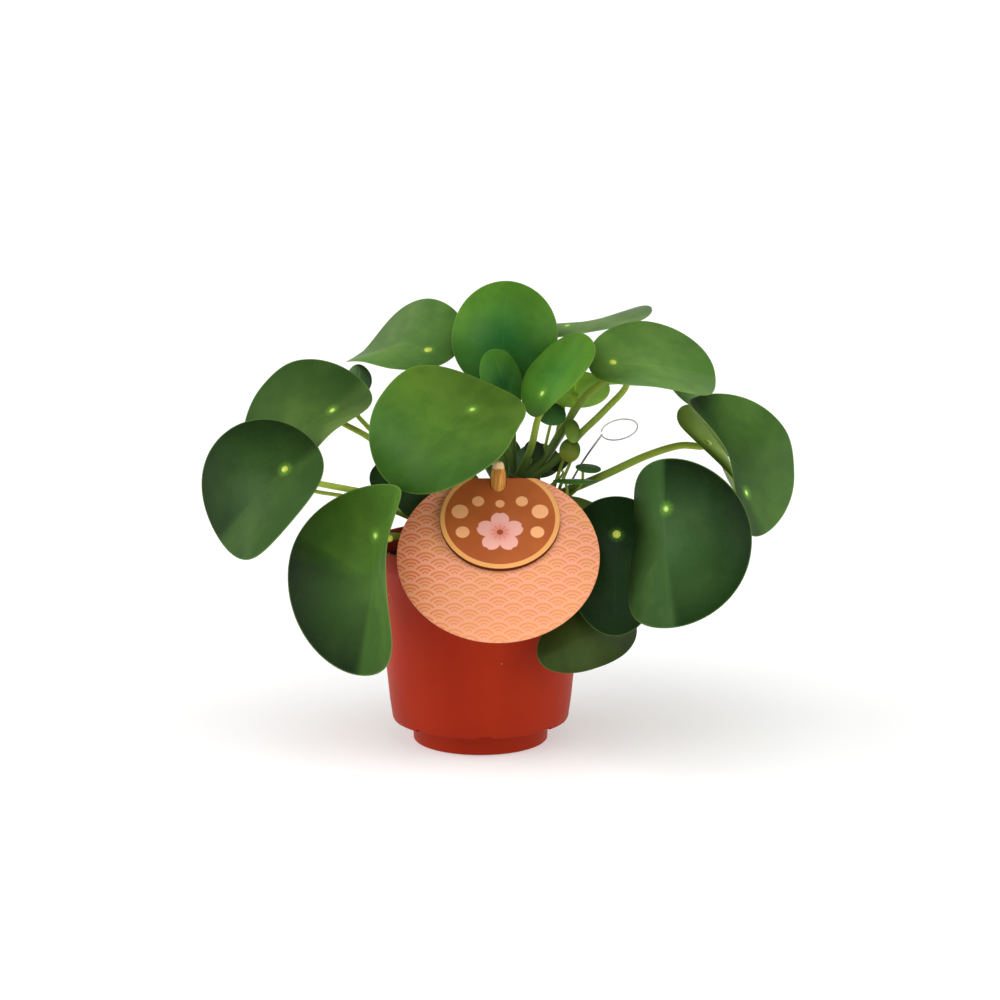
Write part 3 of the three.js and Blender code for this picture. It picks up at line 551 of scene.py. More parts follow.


# Each leaf's greens are partly painted light and shade: leaves deep in the plant's shade, such as leaf_14,
# leaf_15 and leaf_17, get near-black greens, and each leaf's green drifts lighter towards where light falls
# on it.
LEAVES = [
    blade("leaf_01", (-102, -46, 158), heading=186, dip=39, roll=38, half=(41, 37), lead=16, bend=40,
          curl=(-21, -28), egg=0.05, wave=0.8, phase=1, root=0.3, stalk=1.8, hook=9, tone="1a300d",
          flush="3d5c27", clock=-90, sharp=2.4),
    blade("leaf_02", (-80, 6, 181), heading=188, dip=32, roll=28, half=(42, 40), lead=17, bend=15,
          curl=(-48, -45), fold=5, egg=-0.02, wave=0.6, phase=2, root=0.35, stalk=1.8, hook=9,
          via=((-60, 4, 166),), tone="334f1e", flush="5b7637", clock=-90, sharp=1.1),
    blade("leaf_03", (-66, 30, 191), heading=100, dip=-60, half=(7, 9), lead=4, bend=20, curl=(20, 20),
          wave=0.4, phase=2, root=0.2, stalk=1.4, hook=6, via=((-60, 14, 169), (-70, 24, 180)),
          tone="4a6544", flush="5c7a50"),
    blade("leaf_04", (-29, 42, 210), heading=145, dip=-9, roll=22, half=(34, 34), lead=17, bend=45,
          curl=(-11, -40), fold=-4, egg=-0.02, wave=0.6, phase=0, root=0.75, tone="4a712b",
          flush="638246"),
    blade("leaf_05", (12, 24, 207), heading=75, dip=-83, half=(30, 30.5), lead=12, bend=25,
          curl=(6, 20), fold=2, wave=0.5, phase=3, root=0.9, tone="34621e", flush="4e7a22", sharp=0.9,
          heart="1f5a22"),
    blade("leaf_06", (14, 2, 188), heading=138, dip=-76, roll=8, half=(13.5, 18.5), lead=9, bend=22,
          curl=(22, 3), fold=-3, egg=0.06, wave=0.3, phase=0, root=1, stalk=1.6, tone="376b23",
          flush="477926", heart="1f5021"),
    blade("leaf_07", (33, -16, 193), heading=1, dip=-52, roll=-28, half=(26.5, 26), lead=13, bend=8,
          curl=(0, -30), fold=3, egg=0.03, wave=0.5, phase=2, root=0.95, stalk=1.9, hook=4,
          via=((27, -5, 161), (31, -12, 179)), tone="4b7a22", flush="538025", heart="386c26"),
    blade("leaf_08", (-4, -30, 187), heading=219, dip=28, roll=16, half=(44, 41), lead=20, bend=27,
          curl=(-27, -47), fold=8, egg=-0.08, wave=0.6, phase=4, root=0.85, tone="3a6121",
          flush="507121", clock=180, sharp=0.8),
    blade("leaf_09", (71, -6, 209), heading=2, dip=4, roll=-38, half=(36, 35), lead=21.5, bend=19,
          curl=(14, -49), fold=-2, egg=0.04, wave=0.6, phase=1, root=0.85, stalk=1.9, hook=7,
          via=((44, 6, 156), (54, 4, 168), (67, 3, 181), (79, 3, 196)), tone="52782c", flush="567f32",
          flank="668847", crease=0.8),
    blade("leaf_10", (48, 50, 221), heading=2, dip=-9, roll=-3, half=(24, 34), lead=14, bend=-8,
          curl=(10, 10), wave=1.2, phase=3, root=0.95,
          via=((35, 14, 154), (43, 26, 164), (46, 54, 186)), tone="587a40", flush="708856"),
    blade("leaf_11", (103, 32, 210), heading=330, dip=50, half=(20, 28), lead=8, bend=20, curl=(15, 15),
          wave=0.5, phase=3, root=0.75, stalk=2, hook=9,
          via=((35, 7, 155), (45, 9, 170), (58, 9, 189), (80, 14, 203)), tone="5c8044", flush="668a4c"),
    blade("leaf_12", (142, -24, 141), heading=151, dip=-65, half=(46, 41), lead=17, bend=20,
          curl=(-38, -36), fold=-5, wave=0.6, phase=0, root=0.15, hook=9,
          via=((60, -2, 121), (110, -8, 128)), tone="486c2a", flush="223f12", clock=-90, sharp=1.0),
    blade("leaf_13", (126, 26, 161), heading=36, dip=32, roll=-22, half=(36.5, 36.5), lead=16, bend=56,
          curl=(-26, 24), fold=8, egg=0.02, wave=0.5, phase=2, root=0.5, stalk=2.2, hook=4,
          via=((63, 7, 143), (92, 14, 155), (110, 21, 159)), tone="759234", flush="7d9c39",
          back="6f8a34"),
    blade("leaf_14", (95, -80, 143), heading=265, dip=70, roll=-28, half=(45.5, 43.5), lead=17.5,
          bend=10, curl=(41, 80), fold=-4, egg=0.03, wave=0.6, phase=5, root=0.35, hook=14,
          via=((66, -8, 128), (104, -38, 134)), tone="0d2008", flush="19360e", flank="3e5e2e",
          flank_from=-40, flank_slant=0.09, dot=0.85, crease=1.0),
    blade("leaf_15", (72, -40, 122), heading=265, dip=58, roll=-1, half=(27, 38.5), lead=16, bend=42,
          curl=(24, 4), fold=-4, egg=-0.1, wave=0.6, phase=1, root=0.3, hook=10, via=((42, -12, 122),),
          dot=0.5, tone="142a10", flush="172e12"),
    blade("leaf_16", (70, -38, 73), heading=230, dip=8, roll=62, half=(18.5, 36), lead=14, bend=50,
          curl=(5, -10), fold=15, egg=-0.05, wave=0.6, phase=2, root=0.12, stalk=1.8, hook=5,
          via=((34, -14, 121), (58, -24, 116), (59, -24, 97)), tone="27350f", flush="3b4d20",
          back="2e4218"),
    blade("leaf_17", (-54, -60, 125), heading=260, dip=70, roll=-33, half=(51.5, 50), lead=23, bend=0,
          curl=(-74, -37), fold=1, egg=-0.08, wave=0.6, phase=0, root=0.15, hook=10,
          via=((-24, -12, 114), (-50, -34, 119)), tone="13260c", flush="4f7528", clock=180, sharp=2,
          shift=-0.7, flank="3f6122", flank_side=-1, flank_slant=0.08, crease=1.2),
    blade("leaf_18", (52, 32, 186), heading=270, dip=-40, half=(19, 20), lead=6, bend=10, curl=(10, 10),
          wave=0.4, phase=0, root=0.8, stalk=1.6, hook=9, via=((35, 20, 153), (44, 26, 167)),
          tone="56772a", flush="5c7e2e", back="95c742"),
    blade("leaf_19", (-97, -6, 144), heading=200, dip=45, roll=10, half=(15, 15), lead=7, bend=20,
          curl=(10, 10), wave=0.5, phase=0, root=0.1, stalk=1.2, hook=7, via=((-62, 0, 132),),
          tone="3a4d28", flush="3f5a2c"),
    blade("leaf_20", (20, 62, 196), heading=85, dip=20, half=(30, 30), lead=11, bend=25, curl=(15, 20),
          fold=4, wave=0.8, phase=1, root=0.85, via=((12, 34, 162),)),
    blade("leaf_21", (-30, 74, 152), heading=115, dip=40, roll=10, half=(34, 33), lead=13, bend=25,
          curl=(20, 15), fold=5, egg=-0.02, wave=0.8, phase=2, root=0.55, via=((-8, 36, 142),)),
    blade("leaf_22", (91, 71, 198), heading=45, dip=5, roll=-5, half=(28, 28), lead=10, bend=15,
          curl=(15, 15), fold=4, wave=0.8, phase=3, root=0.6, hook=8,
          via=((36, 26, 152), (46, 42, 164), (62, 62, 186))),
    blade("leaf_23", (52, 84, 102), heading=70, dip=66, roll=5, half=(36, 35), lead=14, bend=25,
          curl=(25, 20), fold=8, egg=-0.03, wave=0.8, phase=4, root=0.35, via=((30, 44, 120),)),
    blade("leaf_24", (-73, 52, 99), heading=150, dip=62, roll=-8, half=(30, 30), lead=12, bend=25,
          curl=(20, 25), fold=8, wave=0.8, phase=5, root=0.25, via=((-36, 28, 120), (-60, 44, 118))),
    blade("leaf_25", (-18, 86, 106), heading=105, dip=74, half=(31, 30), lead=12, bend=20,
          curl=(25, 25), fold=8, wave=0.8, phase=0, root=0.15, via=((-6, 40, 120), (-10, 66, 121))),
    blade("small_01", (48, -4, 157.5), heading=80, dip=-72, half=(5.8, 6.6), lead=3, bend=15,
          curl=(15, 15), shoot="right", root=1, stalk=0.9, tone="8c9238", flush="55752c", sharp=1.2),
    blade("small_02", (50, -3, 169), heading=100, dip=-60, half=(4.2, 7), lead=2, bend=15,
          curl=(15, 15), shoot="right", root=0.9, stalk=0.9, tone="809c3e", flush="5c7c30"),
    blade("small_03", (55.5, 0, 150.5), heading=10, dip=2, roll=-15, half=(6, 7), lead=3, bend=12,
          curl=(12, 12), shoot="right", root=0.85, stalk=0.9, tone="466c36", flush="4a7038"),
    blade("small_04", (46, -10, 145.2), heading=352, dip=-2, half=(8, 12), lead=5, bend=10,
          curl=(10, 10), shoot="right", root=0.7, stalk=0.9, tone="3f6a28", flush="4a7430"),
    blade("small_05", (39, 2, 177), heading=100, dip=-50, half=(8, 7.5), lead=3, bend=15, curl=(15, 15),
          shoot="back", root=1, stalk=0.9, tone="47763b", flush="35612f"),
    blade("small_06", (15, 44, 146), heading=95, dip=-65, half=(8.5, 12), lead=3, bend=15,
          curl=(15, 15), shoot="back", root=0.9, stalk=0.8, tone="3e6322", flush="497224"),
    blade("small_07", (32, 34, 146), heading=95, dip=-55, half=(13, 11), lead=3, bend=15, curl=(15, 15),
          shoot="back", root=0.8, stalk=0.8, tone="4c6644", flush="4c6644"),
    blade("small_08", (42, 16, 148), heading=45, dip=-50, half=(5.5, 6), lead=3, bend=15, curl=(15, 15),
          shoot="back", root=0.95, stalk=0.8, tone="50582c", flush="4c5a2e"),
    blade("small_09", (-51, 6, 140.5), heading=100, dip=-60, half=(9, 10), lead=3, bend=15,
          curl=(15, 15), shoot="left", root=1, stalk=1, tone="2c4a24", flush="304c26"),
    blade("small_10", (-30, -21, 136), heading=100, dip=-62, half=(15, 14), lead=3, bend=15,
          curl=(15, 15), shoot="left", root=0.85, stalk=1, tone="36502f", flush="36502f"),
    blade("small_11", (29.5, 4, 158), heading=100, dip=-50, half=(5.5, 6), lead=2, bend=15,
          curl=(15, 15), shoot="back", root=0.6, stalk=1, tone="38452f", flush="3c4a32"),
]


def smooth(x):
    s = min(max(x, 0), 1)
    return s * s * (3 - 2 * s)


def blade_point(leaf, x, y):
    """Where a point of the unit disc lies on a leaf's bent middle surface."""
    (a, b), rho, t = leaf["half"], math.hypot(x, y), math.atan2(x, y)
    u = rho * a * math.sin(t) * (1 + leaf["egg"] * math.cos(t))
    v = leaf["lead"] + rho * b * math.cos(t)
    k = math.radians(leaf["curl"][0 if u < 0 else 1]) / a or 1e-6
    kv = math.radians(leaf["bend"]) / (2 * b) or 1e-6
    fold = math.radians(leaf["fold"]) * smooth(v / (0.6 * b))
    w = abs(u)
    across = math.copysign(1, u) * (math.sin(fold + k * w) - math.sin(fold)) / k
    lift = (math.cos(fold + k * w) - math.cos(fold)) / k
    lift += leaf["wave"] * rho ** 4 * math.sin(3 * math.atan2(u / a, (v - leaf["lead"]) / b) + leaf["phase"])
    far = math.hypot(u, v)
    lift -= leaf["sink"] * math.exp(-((far / 5) ** 2))
    if leaf["crease"]:
        lift -= leaf["crease"] * math.exp(-((u / 3.5) ** 2)) * smooth(v / 8) * (1 - smooth((rho - 0.7) / 0.3))
    s, c = math.sin(kv * v), math.cos(kv * v)
    ahead, height = s / kv + lift * s, -(1 - c) / kv + lift * c
    return leaf["side"] * across + leaf["tip"] * ahead + leaf["up"] * height, u, v


def grow_blade(leaf):
    """A blade's solid: a disc inset into rings, bent to shape, then given
    thickness that rounds off at the margin."""
    small = leaf["small"]
    sides, rings = (40, 6) if small else (96, 14)
    thickness = BLADE_THICKNESS * (SMALL_SHARE if small else 1)
    flat = bmesh.new()
    bmesh.ops.create_circle(flat, cap_ends=True, segments=sides, radius=1)
    middle = flat.faces[:][0]
    stops = [1] + [MARGIN_RING * (1 - i / (rings - 1)) for i in range(rings - 1)]
    for a, b in zip(stops, stops[1:]):
        step = (a - b) * math.cos(math.pi / sides)
        bmesh.ops.inset_region(flat, faces=[middle], thickness=step, use_even_offset=True)
    bmesh.ops.poke(flat, faces=[middle])
    bmesh.ops.triangulate(flat, faces=[f for f in flat.faces if len(f.verts) > 4])
    grain = flat.verts.layers.float_vector.new("leaf")
    under = flat.verts.layers.float.new("under")
    radius = flat.verts.layers.float.new("radius")
    spotted = flat.verts.layers.float.new("spotted")
    tint = flat.verts.layers.float_color.new("tint")
    tone, flush = Vector(colour(leaf["tone"])), Vector(colour(leaf["flush"]))
    clock = math.radians(leaf["clock"])
    top = flat.verts[:]
    disc = {}
    for v in top:
        x, y = v.co.x, v.co.y
        rho = min(math.hypot(x, y), 1.0)
        here, u, w = blade_point(leaf, x, y)
        e = 0.01
        dx = blade_point(leaf, x + e, y)[0] - blade_point(leaf, x - e, y)[0]
        dy = blade_point(leaf, x, y + e)[0] - blade_point(leaf, x, y - e)[0]
        outward = dx.cross(dy).normalized()
        if outward.dot(leaf["up"]) < 0 and rho < 0.3:
            outward = -outward
        rounding = math.sqrt(max(0.0, 1 - (max(rho - ROUNDING_FROM, 0) / (1 - ROUNDING_FROM)) ** 2))
        full = MARGIN_SHARE + (1 - MARGIN_SHARE) * rounding
        disc[v] = (here, outward, 0.5 * thickness * full)
        v[grain] = (u, w, 0)
        v[radius] = rho
        # a dimmer dot on a leaf in shade is painted shade
        v[spotted] = 0.0 if small else leaf["dot"]
        ragged = noise.noise(Vector((u, w, leaf["phase"] * 9)) * 0.09)
        # painted light and shade: the green drifts across the blade, lighter where light falls on it and
        # darker in its shade
        toward = x * math.sin(clock) + y * math.cos(clock) + 0.25 * ragged
        shade = tone.lerp(flush, smooth(0.5 + leaf["shift"] + leaf["sharp"] * toward))
        if leaf["heart"]:
            inner = 1 - smooth((rho + 0.22 * ragged - 0.35) / 0.45)
            shade = shade.lerp(Vector(colour(leaf["heart"])), inner)
        # painted light and sheen on one side of the midrib
        if leaf["flank"]:
            over = smooth(0.5 + (leaf["flank_side"] * u + leaf["flank_slant"] * w) / 3)
            share = over * smooth((w - leaf["flank_from"]) / 14)
            shade = shade.lerp(Vector(colour(leaf["flank"])), share)
        v[tint] = shade
    copy = bmesh.ops.duplicate(flat, geom=flat.faces[:])
    twin = {copy["vert_map"][v]: v for v in top}
    bottom_faces = [g for g in copy["geom"] if isinstance(g, bmesh.types.BMFace)]
    bmesh.ops.reverse_faces(flat, faces=bottom_faces)
    spot = Vector(leaf["at"])
    for v in top:
        here, outward, half = disc[v]
        v.co = spot + here + outward * half
    for v, source in twin.items():
        here, outward, half = disc[source]
        v.co = spot + here - outward * half
        # on some leaves the underside's green is lightened as painted light shining through the blade
        v[under], v[tint] = 1.0, Vector(colour(leaf["back"]))
    rim = [e for e in flat.edges if e.is_boundary]
    bmesh.ops.bridge_loops(flat, edges=rim)
    bmesh.ops.recalc_face_normals(flat, faces=flat.faces)
    return flat


leaf_finish = Finish("leaf_skin", IOR=1.45, Specular_IOR_Level=0.1)
leaf_at = leaf_finish.read("leaf", "Vector")
leaf_u = leaf_finish.node("ShaderNodeSeparateXYZ", sockets={0: leaf_at}, out=0)
leaf_v = leaf_finish.node("ShaderNodeSeparateXYZ", sockets={0: leaf_at}, out=1)
under, radius, spotted = leaf_finish.read("under"), leaf_finish.read("radius"), leaf_finish.read("spotted")
from_dot = (leaf_u * leaf_u + leaf_v * leaf_v) ** 0.5
bearing = leaf_u.math("ARCTAN2", leaf_v)
soft = leaf_finish.grain(30, 3, 0.5)
patch = leaf_finish.grain(85, 4, 0.6)
cells = leaf_finish.grain(420, 3, 0.6)
# the veins run out from the dot, bending a little, the midrib strongest
turn = (bearing + from_dot * 0.004 * bearing.math("SINE")) * (VEINS / math.tau) + 0.5
swerve = (turn.math("FRACT") - 0.5).math("ABSOLUTE") * (math.tau / VEINS) * from_dot
main_vein = (1 - swerve.rise(0.1, 0.7)) * from_dot.rise(2, 6) * (1 - radius.rise(0.4, 0.85))
midrib = (1 - leaf_u.math("ABSOLUTE").rise(0.1, 0.7)) * leaf_v.rise(2, 8) * (1 - radius.rise(0.6, 0.95))
vein = (main_vein * 0.4 + midrib * 0.7).clip()
tint = leaf_finish.read("tint", "Color")
clouds = (soft * 0.65 + patch * 0.35).rise(0.40, 0.62)
cast = leaf_finish.mix(clouds, (0.76, 0.82, 0.80, 1), (1.16, 1.12, 1.12, 1))
skin = leaf_finish.mix(1.0, tint, cast, "MULTIPLY")
blotch = patch.rise(0.56, 0.62) * (1 - under) * 0.4
skin = leaf_finish.mix(blotch, skin, leaf_finish.mix(1.0, skin, (0.78, 0.86, 0.80, 1), "MULTIPLY"))
skin = leaf_finish.mix(cells.rise(0.5, 0.8) * 0.02, skin, colour("86a850"))
pale = leaf_finish.mix(1.0, skin, (1.8, 1.6, 1.4, 1), "MULTIPLY")
skin = leaf_finish.mix(vein * (under * 0.5 + (1 - spotted) * 0.3 + 0.2), skin, pale)
ray = (1 - swerve.rise(0.0, 0.8)) * (1 - from_dot.rise(1.5, 5.5)) * patch * spotted
halo = (1 - from_dot.rise(1.0, 5.5)) * spotted
skin = leaf_finish.mix(((halo * 0.45 + ray * 0.35) * (1 - under)).clip(), skin, colour("6fa032"))
dot = (1 - (from_dot + (cells - 0.5) * 1.2).rise(0.4, 2.1)) * spotted * (1 - under)
skin = leaf_finish.mix(dot, skin, colour("c4e878"))
margin = radius.rise(0.982, 0.996)
skin = leaf_finish.mix(margin * 0.3, skin, colour("86a852"))
leaf_finish.feed("Base Color", skin)
leaf_finish.feed("Roughness", soft * 0.16 + cells * 0.10 + under * 0.15 + 0.32)
leaf_finish.bump(cells * 0.25 - main_vein * 0.15 - midrib * 0.4 + soft * 1.8 + patch * 0.5, 0.0004, 0.5)

for leaf in LEAVES:
    hook = leaf["hook"]
    if leaf["shoot"]:
        start = shoot_paths[leaf["shoot"]].at(PETIOLES_TO * leaf["root"])
    else:
        start = stem_path.at(PETIOLES_FROM + (PETIOLES_TO - PETIOLES_FROM) * leaf["root"])
    spot, up = Vector(leaf["at"]), leaf["up"]
    reach = (spot - start).length
    turn_at = spot - up * (hook or min(22, 0.25 * reach))
    midway = start.lerp(turn_at, 0.5) + Vector((0, 0, 0.03 * reach))
    via = [Vector(p) for p in leaf["via"] or [midway]]
    path = Path([start, *via, turn_at, spot - up * (leaf["sink"] + 0.15)])
    r = leaf["stalk"]

    def girth(s, r=r):
        flare = 0.5 * math.exp(-s / 0.03) + 0.15 * math.exp(-(1 - s) / 0.02)
        return r * (lerp_list([1.15, 1, 0.85], s) + flare)

    steps, sides = (20, 8) if leaf["shoot"] else (44, 14)
    stalk(stems_mesh, path, girth, steps, sides)
    finished(leaf["name"] + "_blade", grow_blade(leaf), leaf_finish, leaf["name"], slot="leaf")

bmesh.ops.recalc_face_normals(stems_mesh, faces=stems_mesh.faces)
finished("stem_and_petioles", stems_mesh, stem_finish, "plant_stems", slot="stem")

# ---------------------------------------------------------------- peg
# A short tapered wooden peg, pushed into the soil through the label.
PEG_AT = (9.8, -29.1)
PEG_BOTTOM, PEG_SHOULDER, PEG_TOP = 58, 151, 158.3
PEG_RADII = [3.4, 4, 2.7]                  # above its point, at its shoulder and at its top
CUT_END = (0.1546, 0.1556)                 # metres, between which the wood turns to the pale cut end, painted paler still as its lit top
CLEAR = 0.3

peg_finish = Finish("bare_wood", Roughness=0.6, Specular_IOR_Level=0.15)
rings = peg_finish.grain(90, 4, 0.6, at=peg_finish.place((9, 9, 0.7)))
wood = peg_finish.mix(rings.rise(0.35, 0.65), colour("ba722c"), colour("f0ae58"))
peg_height = peg_finish.node("ShaderNodeSeparateXYZ", sockets={0: peg_finish.place()}, out=2)
# the pale top is the cut end, made paler by painted light on the lit end
cut_end = (peg_height + (rings - 0.5) * 0.0012).rise(*CUT_END)
wood = peg_finish.mix(cut_end, wood, colour("ffdba4"))
peg_finish.feed("Base Color", wood)
peg_finish.bump(rings, 0.0002, 0.6)

peg_profile = [
    (0, PEG_BOTTOM), (0.8, PEG_BOTTOM + 0.3), (1.2, PEG_BOTTOM + 1), (PEG_RADII[0], PEG_BOTTOM + 10),
    (PEG_RADII[1], PEG_SHOULDER - 0.5), (PEG_RADII[1], PEG_SHOULDER + 0.4),
    (PEG_RADII[1] - 0.2, PEG_SHOULDER + 2), (PEG_RADII[2] + 0.1, PEG_TOP - 0.9),
    (PEG_RADII[2] - 0.2, PEG_TOP - 0.3), (PEG_RADII[2] - 0.6, PEG_TOP), (0, PEG_TOP),
]
peg_mesh = turned(peg_profile, 40)
bmesh.ops.translate(peg_mesh, vec=(*PEG_AT, 0), verts=peg_mesh.verts)
peg = finished("wooden_peg", peg_mesh, peg_finish, "peg", slot="wood")
crisp(peg, 50)

# ---------------------------------------------------------------- label
# A round card, plain behind and printed in front with rows of overlapping wave
# scales, and on it a raised round badge of thick card, brown with a gold
# border. Both are cut straight along the top and pierced for the peg.
TAG_RADIUS, TAG_THICKNESS, TAG_TRIM = 52.8, 1.2, 48.8
TAG_CENTRE, TAG_TILT = (9.8, -57, 113.3), 45.2
BADGE_RADIUS, BADGE_THICKNESS, BADGE_TRIM, BADGE_AT = 31.5, 3, 46.8, (0.9, 21.2)
tag_turn = Matrix.Translation(TAG_CENTRE) @ Matrix.Rotation(math.radians(90 - TAG_TILT), 4, "X")


def round_card(radius, thickness, edge, offset, trim):
    """A disc with rounded edges and a straight top edge, printed face up."""
    mesh = bmesh.new()
    bmesh.ops.create_circle(mesh, cap_ends=True, segments=160, radius=radius)
    disc, plane = mesh.verts[:] + mesh.edges[:] + mesh.faces[:], (0, trim - offset[1], 0)
    bmesh.ops.bisect_plane(mesh, geom=disc, plane_co=plane, plane_no=(0, 1, 0), clear_outer=True)
    raised = bmesh.ops.extrude_face_region(mesh, geom=mesh.faces[:])["geom"]
    raised = [g for g in raised if isinstance(g, bmesh.types.BMVert)]
    bmesh.ops.translate(mesh, vec=(0, 0, thickness), verts=raised)
    bmesh.ops.recalc_face_normals(mesh, faces=mesh.faces)
    outline = [e for e in mesh.edges if len(e.link_faces) == 2 and e.calc_face_angle() > 1]
    bmesh.ops.bevel(mesh, geom=outline, offset=edge, **ROUND_EDGES)
    bmesh.ops.translate(mesh, vec=offset, verts=mesh.verts)
    bmesh.ops.transform(mesh, matrix=tag_turn, verts=mesh.verts)
    return mesh


def on_label(finish):
    """How far right, up and out a point lies on the label's face, in millimetres."""
    sockets = {
        "Vector": finish.node("ShaderNodeTexCoord", out="Object"),
        "Location": [c * MM for c in TAG_CENTRE],
        "Rotation": (math.radians(90 - TAG_TILT), 0, 0),
        "Scale": (MM, MM, MM),
    }
    at = finish.node("ShaderNodeMapping", {"vector_type": "TEXTURE"}, sockets)
    return [finish.node("ShaderNodeSeparateXYZ", sockets={0: at}, out=i) for i in (0, 1, 2)]


card_finish = Finish("printed_card", Roughness=0.55, Specular_IOR_Level=0.12)
card_x, card_y, card_height = on_label(card_finish)
SCALE_RADIUS, ROW = 7.6, 3.9          # the wave scales and the step between their rows
FIRST_SCALE = (-30.2, -23.8)
ARCS = [(5.6, 0.35, 0.9), (3.5, 0.3, 0.8), (1.6, 0.25, 0.7)]  # radius, and half-widths of its ink

# every row of scales lies over the row above it
x, y = card_x - FIRST_SCALE[0], card_y - FIRST_SCALE[1]
row_at = (y / ROW).math("FLOOR")
far = None
for step in (1, 0, -1):
    row = row_at + step
    column = (x / (2 * SCALE_RADIUS) - (row * 0.5).math("FRACT") + 0.5).math("FRACT") - 0.5
    across, up = column * (2 * SCALE_RADIUS), y - row * ROW
    reach = (across * across + up * up) ** 0.5
    covers = reach < SCALE_RADIUS
    far = reach if far is None else reach * covers + far * (1 - covers)
arcs = sum(1 - (far - radius).math("ABSOLUTE").rise(full, gone) for radius, full, gone in ARCS)
worn = card_finish.grain(60, 3, at=card_finish.place())
fibre = card_finish.grain(900, 2)
paper = card_finish.mix(worn.rise(0.35, 0.65), colour("fbb084"), colour("ffac90"))
# painted shade of leaf_17: the ink turns a stronger, darker orange towards the card's left edge
ink = card_finish.mix((card_x * -1).rise(16, 48), colour("e69152"), colour("e4682c"))
paper = card_finish.mix((card_y * -1).rise(-20, 50) * 0.6, paper, colour("e49e7a"))
card_colour = card_finish.mix(arcs.clip() * (worn * 0.4 + 0.6), paper, ink)
# painted shade of leaf_17: the card darkens to orange-brown at its left edge
card_colour = card_finish.mix((card_x * -1).rise(34, 54) * 0.3, card_colour, colour("c8682f"))
card_back = card_finish.mix(worn, colour("d9ae8a"), colour("e4bd9c"))
card_colour = card_finish.mix(card_height.rise(0.2, 0.4), card_back, card_colour)
card_finish.feed("Base Color", card_colour)
card_finish.feed("Roughness", fibre * 0.15 + 0.45)
card_finish.bump(fibre, 0.00005, 0.5)
card_mesh = round_card(TAG_RADIUS, TAG_THICKNESS, 0.25, (0, 0, 0), TAG_TRIM)
card = finished("label_card", card_mesh, card_finish, "tag_disc", slot="card")

# the badge's print: a pink five-petalled blossom among peach dots
BLOSSOM_AT, BLOSSOM_RADIUS = (0, -9), 12.5
DOTS = [(19.5, -9, 3.6), (21, 4, 4.4), (11.5, 10.5, 3.2), (0, 9, 2.4)]  # on both sides of the middle
BORDER = (28.8, 29.1)
badge_finish = Finish("badge_print", Specular_IOR_Level=0.12)
bx, by, badge_height = on_label(badge_finish)
bx, by = bx - BADGE_AT[0], by - BADGE_AT[1]
from_middle = (bx * bx + by * by) ** 0.5
stain = badge_finish.grain(45, 3)
badge_colour = badge_finish.mix(stain.rise(0.3, 0.7), colour("b05829"), colour("bc6430"))
for across, up, size in DOTS:
    x, y = bx.math("ABSOLUTE") - across, by - up
    inside = 1 - ((x * x + y * y) ** 0.5).rise(size - 0.15, size + 0.15)
    badge_colour = badge_finish.mix(inside, badge_colour, colour("ffb880"))
x, y = bx - BLOSSOM_AT[0], by - BLOSSOM_AT[1]
out, lobe = (x * x + y * y) ** 0.5, x.math("ARCTAN2", y) * 2.5
petal = lobe.math("COSINE").math("ABSOLUTE")
notch = petal.rise(0.96, 1.0) * 0.05
edge = (petal ** 0.6) * 0.42 + 0.58 - notch
share = out / edge * (1 / BLOSSOM_RADIUS)
pink = badge_finish.mix(out.rise(1, 8), colour("f08f80"), colour("f8b6a8"))
badge_colour = badge_finish.mix(1 - share.rise(0.985, 1.015), badge_colour, pink)
stamen = (1 - (lobe * 2).math("SINE").math("ABSOLUTE").rise(0.1, 0.25)) * (1 - out.rise(4.6, 4.9))
eye = (stamen * 0.6 + (1 - out.rise(1.5, 1.8))).clip()
badge_colour = badge_finish.mix(eye, badge_colour, colour("a35226"))
gold = badge_finish.mix(stain, colour("f2a85c"), colour("f4b46e"))
badge_colour = badge_finish.mix(from_middle.rise(*BORDER), badge_colour, gold)
badge_bottom = TAG_THICKNESS + CLEAR
# painted shade: the badge's side wall, under its gold border, is painted dark brown
on_top = (badge_height - badge_bottom - BADGE_THICKNESS).rise(-0.5, -0.2)
badge_colour = badge_finish.mix(on_top, colour("5a2412"), badge_colour)
thread = badge_finish.grain(900, 2)
badge_finish.feed("Base Color", badge_colour)
badge_finish.feed("Roughness", thread * 0.15 + 0.4)
badge_finish.bump(thread, 0.00005, 0.5)
badge_mesh = round_card(BADGE_RADIUS, BADGE_THICKNESS, 0.5, (*BADGE_AT, badge_bottom), BADGE_TRIM)
badge = finished("label_badge", badge_mesh, badge_finish, "tag_badge", slot="badge")
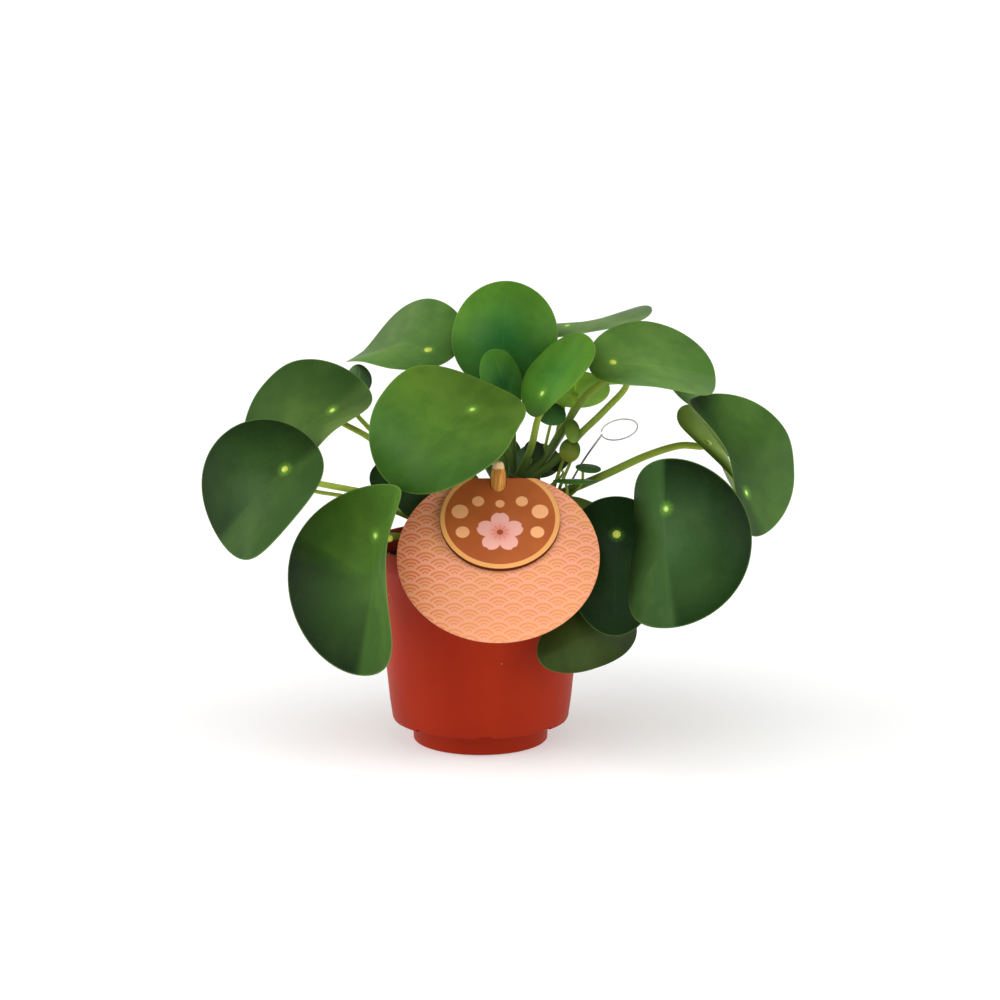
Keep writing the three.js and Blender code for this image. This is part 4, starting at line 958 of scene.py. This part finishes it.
for piece in (card, badge):
    hole_mesh = turned([(r + CLEAR if r else 0, z) for r, z in peg_profile], 40)
    bmesh.ops.translate(hole_mesh, vec=(*PEG_AT, 0), verts=hole_mesh.verts)
    cut_away(piece, in_millimetres("peg_hole", hole_mesh))
    crisp(piece, 50)

# ---------------------------------------------------------------- wire
# A thin grey wire pushed into the soil, its end bent into a ring.
STALK_RADIUS, RING_RADIUS = 0.55, 0.4
WIRE_STALK = [(30, 16, 64), (36, 15, 100), (44, 14, 128), (55.5, 12, 151), (66, 8.6, 167)]
WIRE_RING, WIRE_RING_HALF, WIRE_RING_TURN = (75.5, 10, 169.5), (10, 5.2), math.radians(14)
RING_SWEEP, RING_STEPS = 1.94 * math.pi, 24
WIRE_FADE = (0.155, 0.17)                  # metres, between which the wire turns from dull to bright

wire_finish = Finish("grey_wire", Metallic=0.2)
tarnish = wire_finish.grain(300, 3)
wire_height = wire_finish.node("ShaderNodeSeparateXYZ", sockets={0: wire_finish.place()}, out=2)
wire_grey = wire_finish.mix(wire_height.rise(*WIRE_FADE), colour("7a756a"), colour("f2f2f0"))
wire_finish.feed("Base Color", wire_finish.mix(tarnish * 0.2, wire_grey, colour("9a9890")))
wire_finish.feed("Roughness", tarnish * 0.2 + 0.28)
wire_mesh = bmesh.new()
stalk(wire_mesh, Path(WIRE_STALK), lambda s: STALK_RADIUS, 60, 12)
ring_points = []
for i in range(RING_STEPS + 1):
    w = math.pi + i / RING_STEPS * RING_SWEEP
    x, z, c = WIRE_RING_HALF[0] * math.cos(w), WIRE_RING_HALF[1] * math.sin(w), WIRE_RING_TURN
    across, up = x * math.cos(c) - z * math.sin(c), x * math.sin(c) + z * math.cos(c)
    ring_points.append((WIRE_RING[0] + across, WIRE_RING[1] - 1.5 * math.sin(w / 2), WIRE_RING[2] + up))
stalk(wire_mesh, Path(ring_points), lambda s: RING_RADIUS, 72, 12)
bmesh.ops.recalc_face_normals(wire_mesh, faces=wire_mesh.faces)
finished("wire_ring", wire_mesh, wire_finish, "wire_loop", slot="wire")

dressed_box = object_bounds()
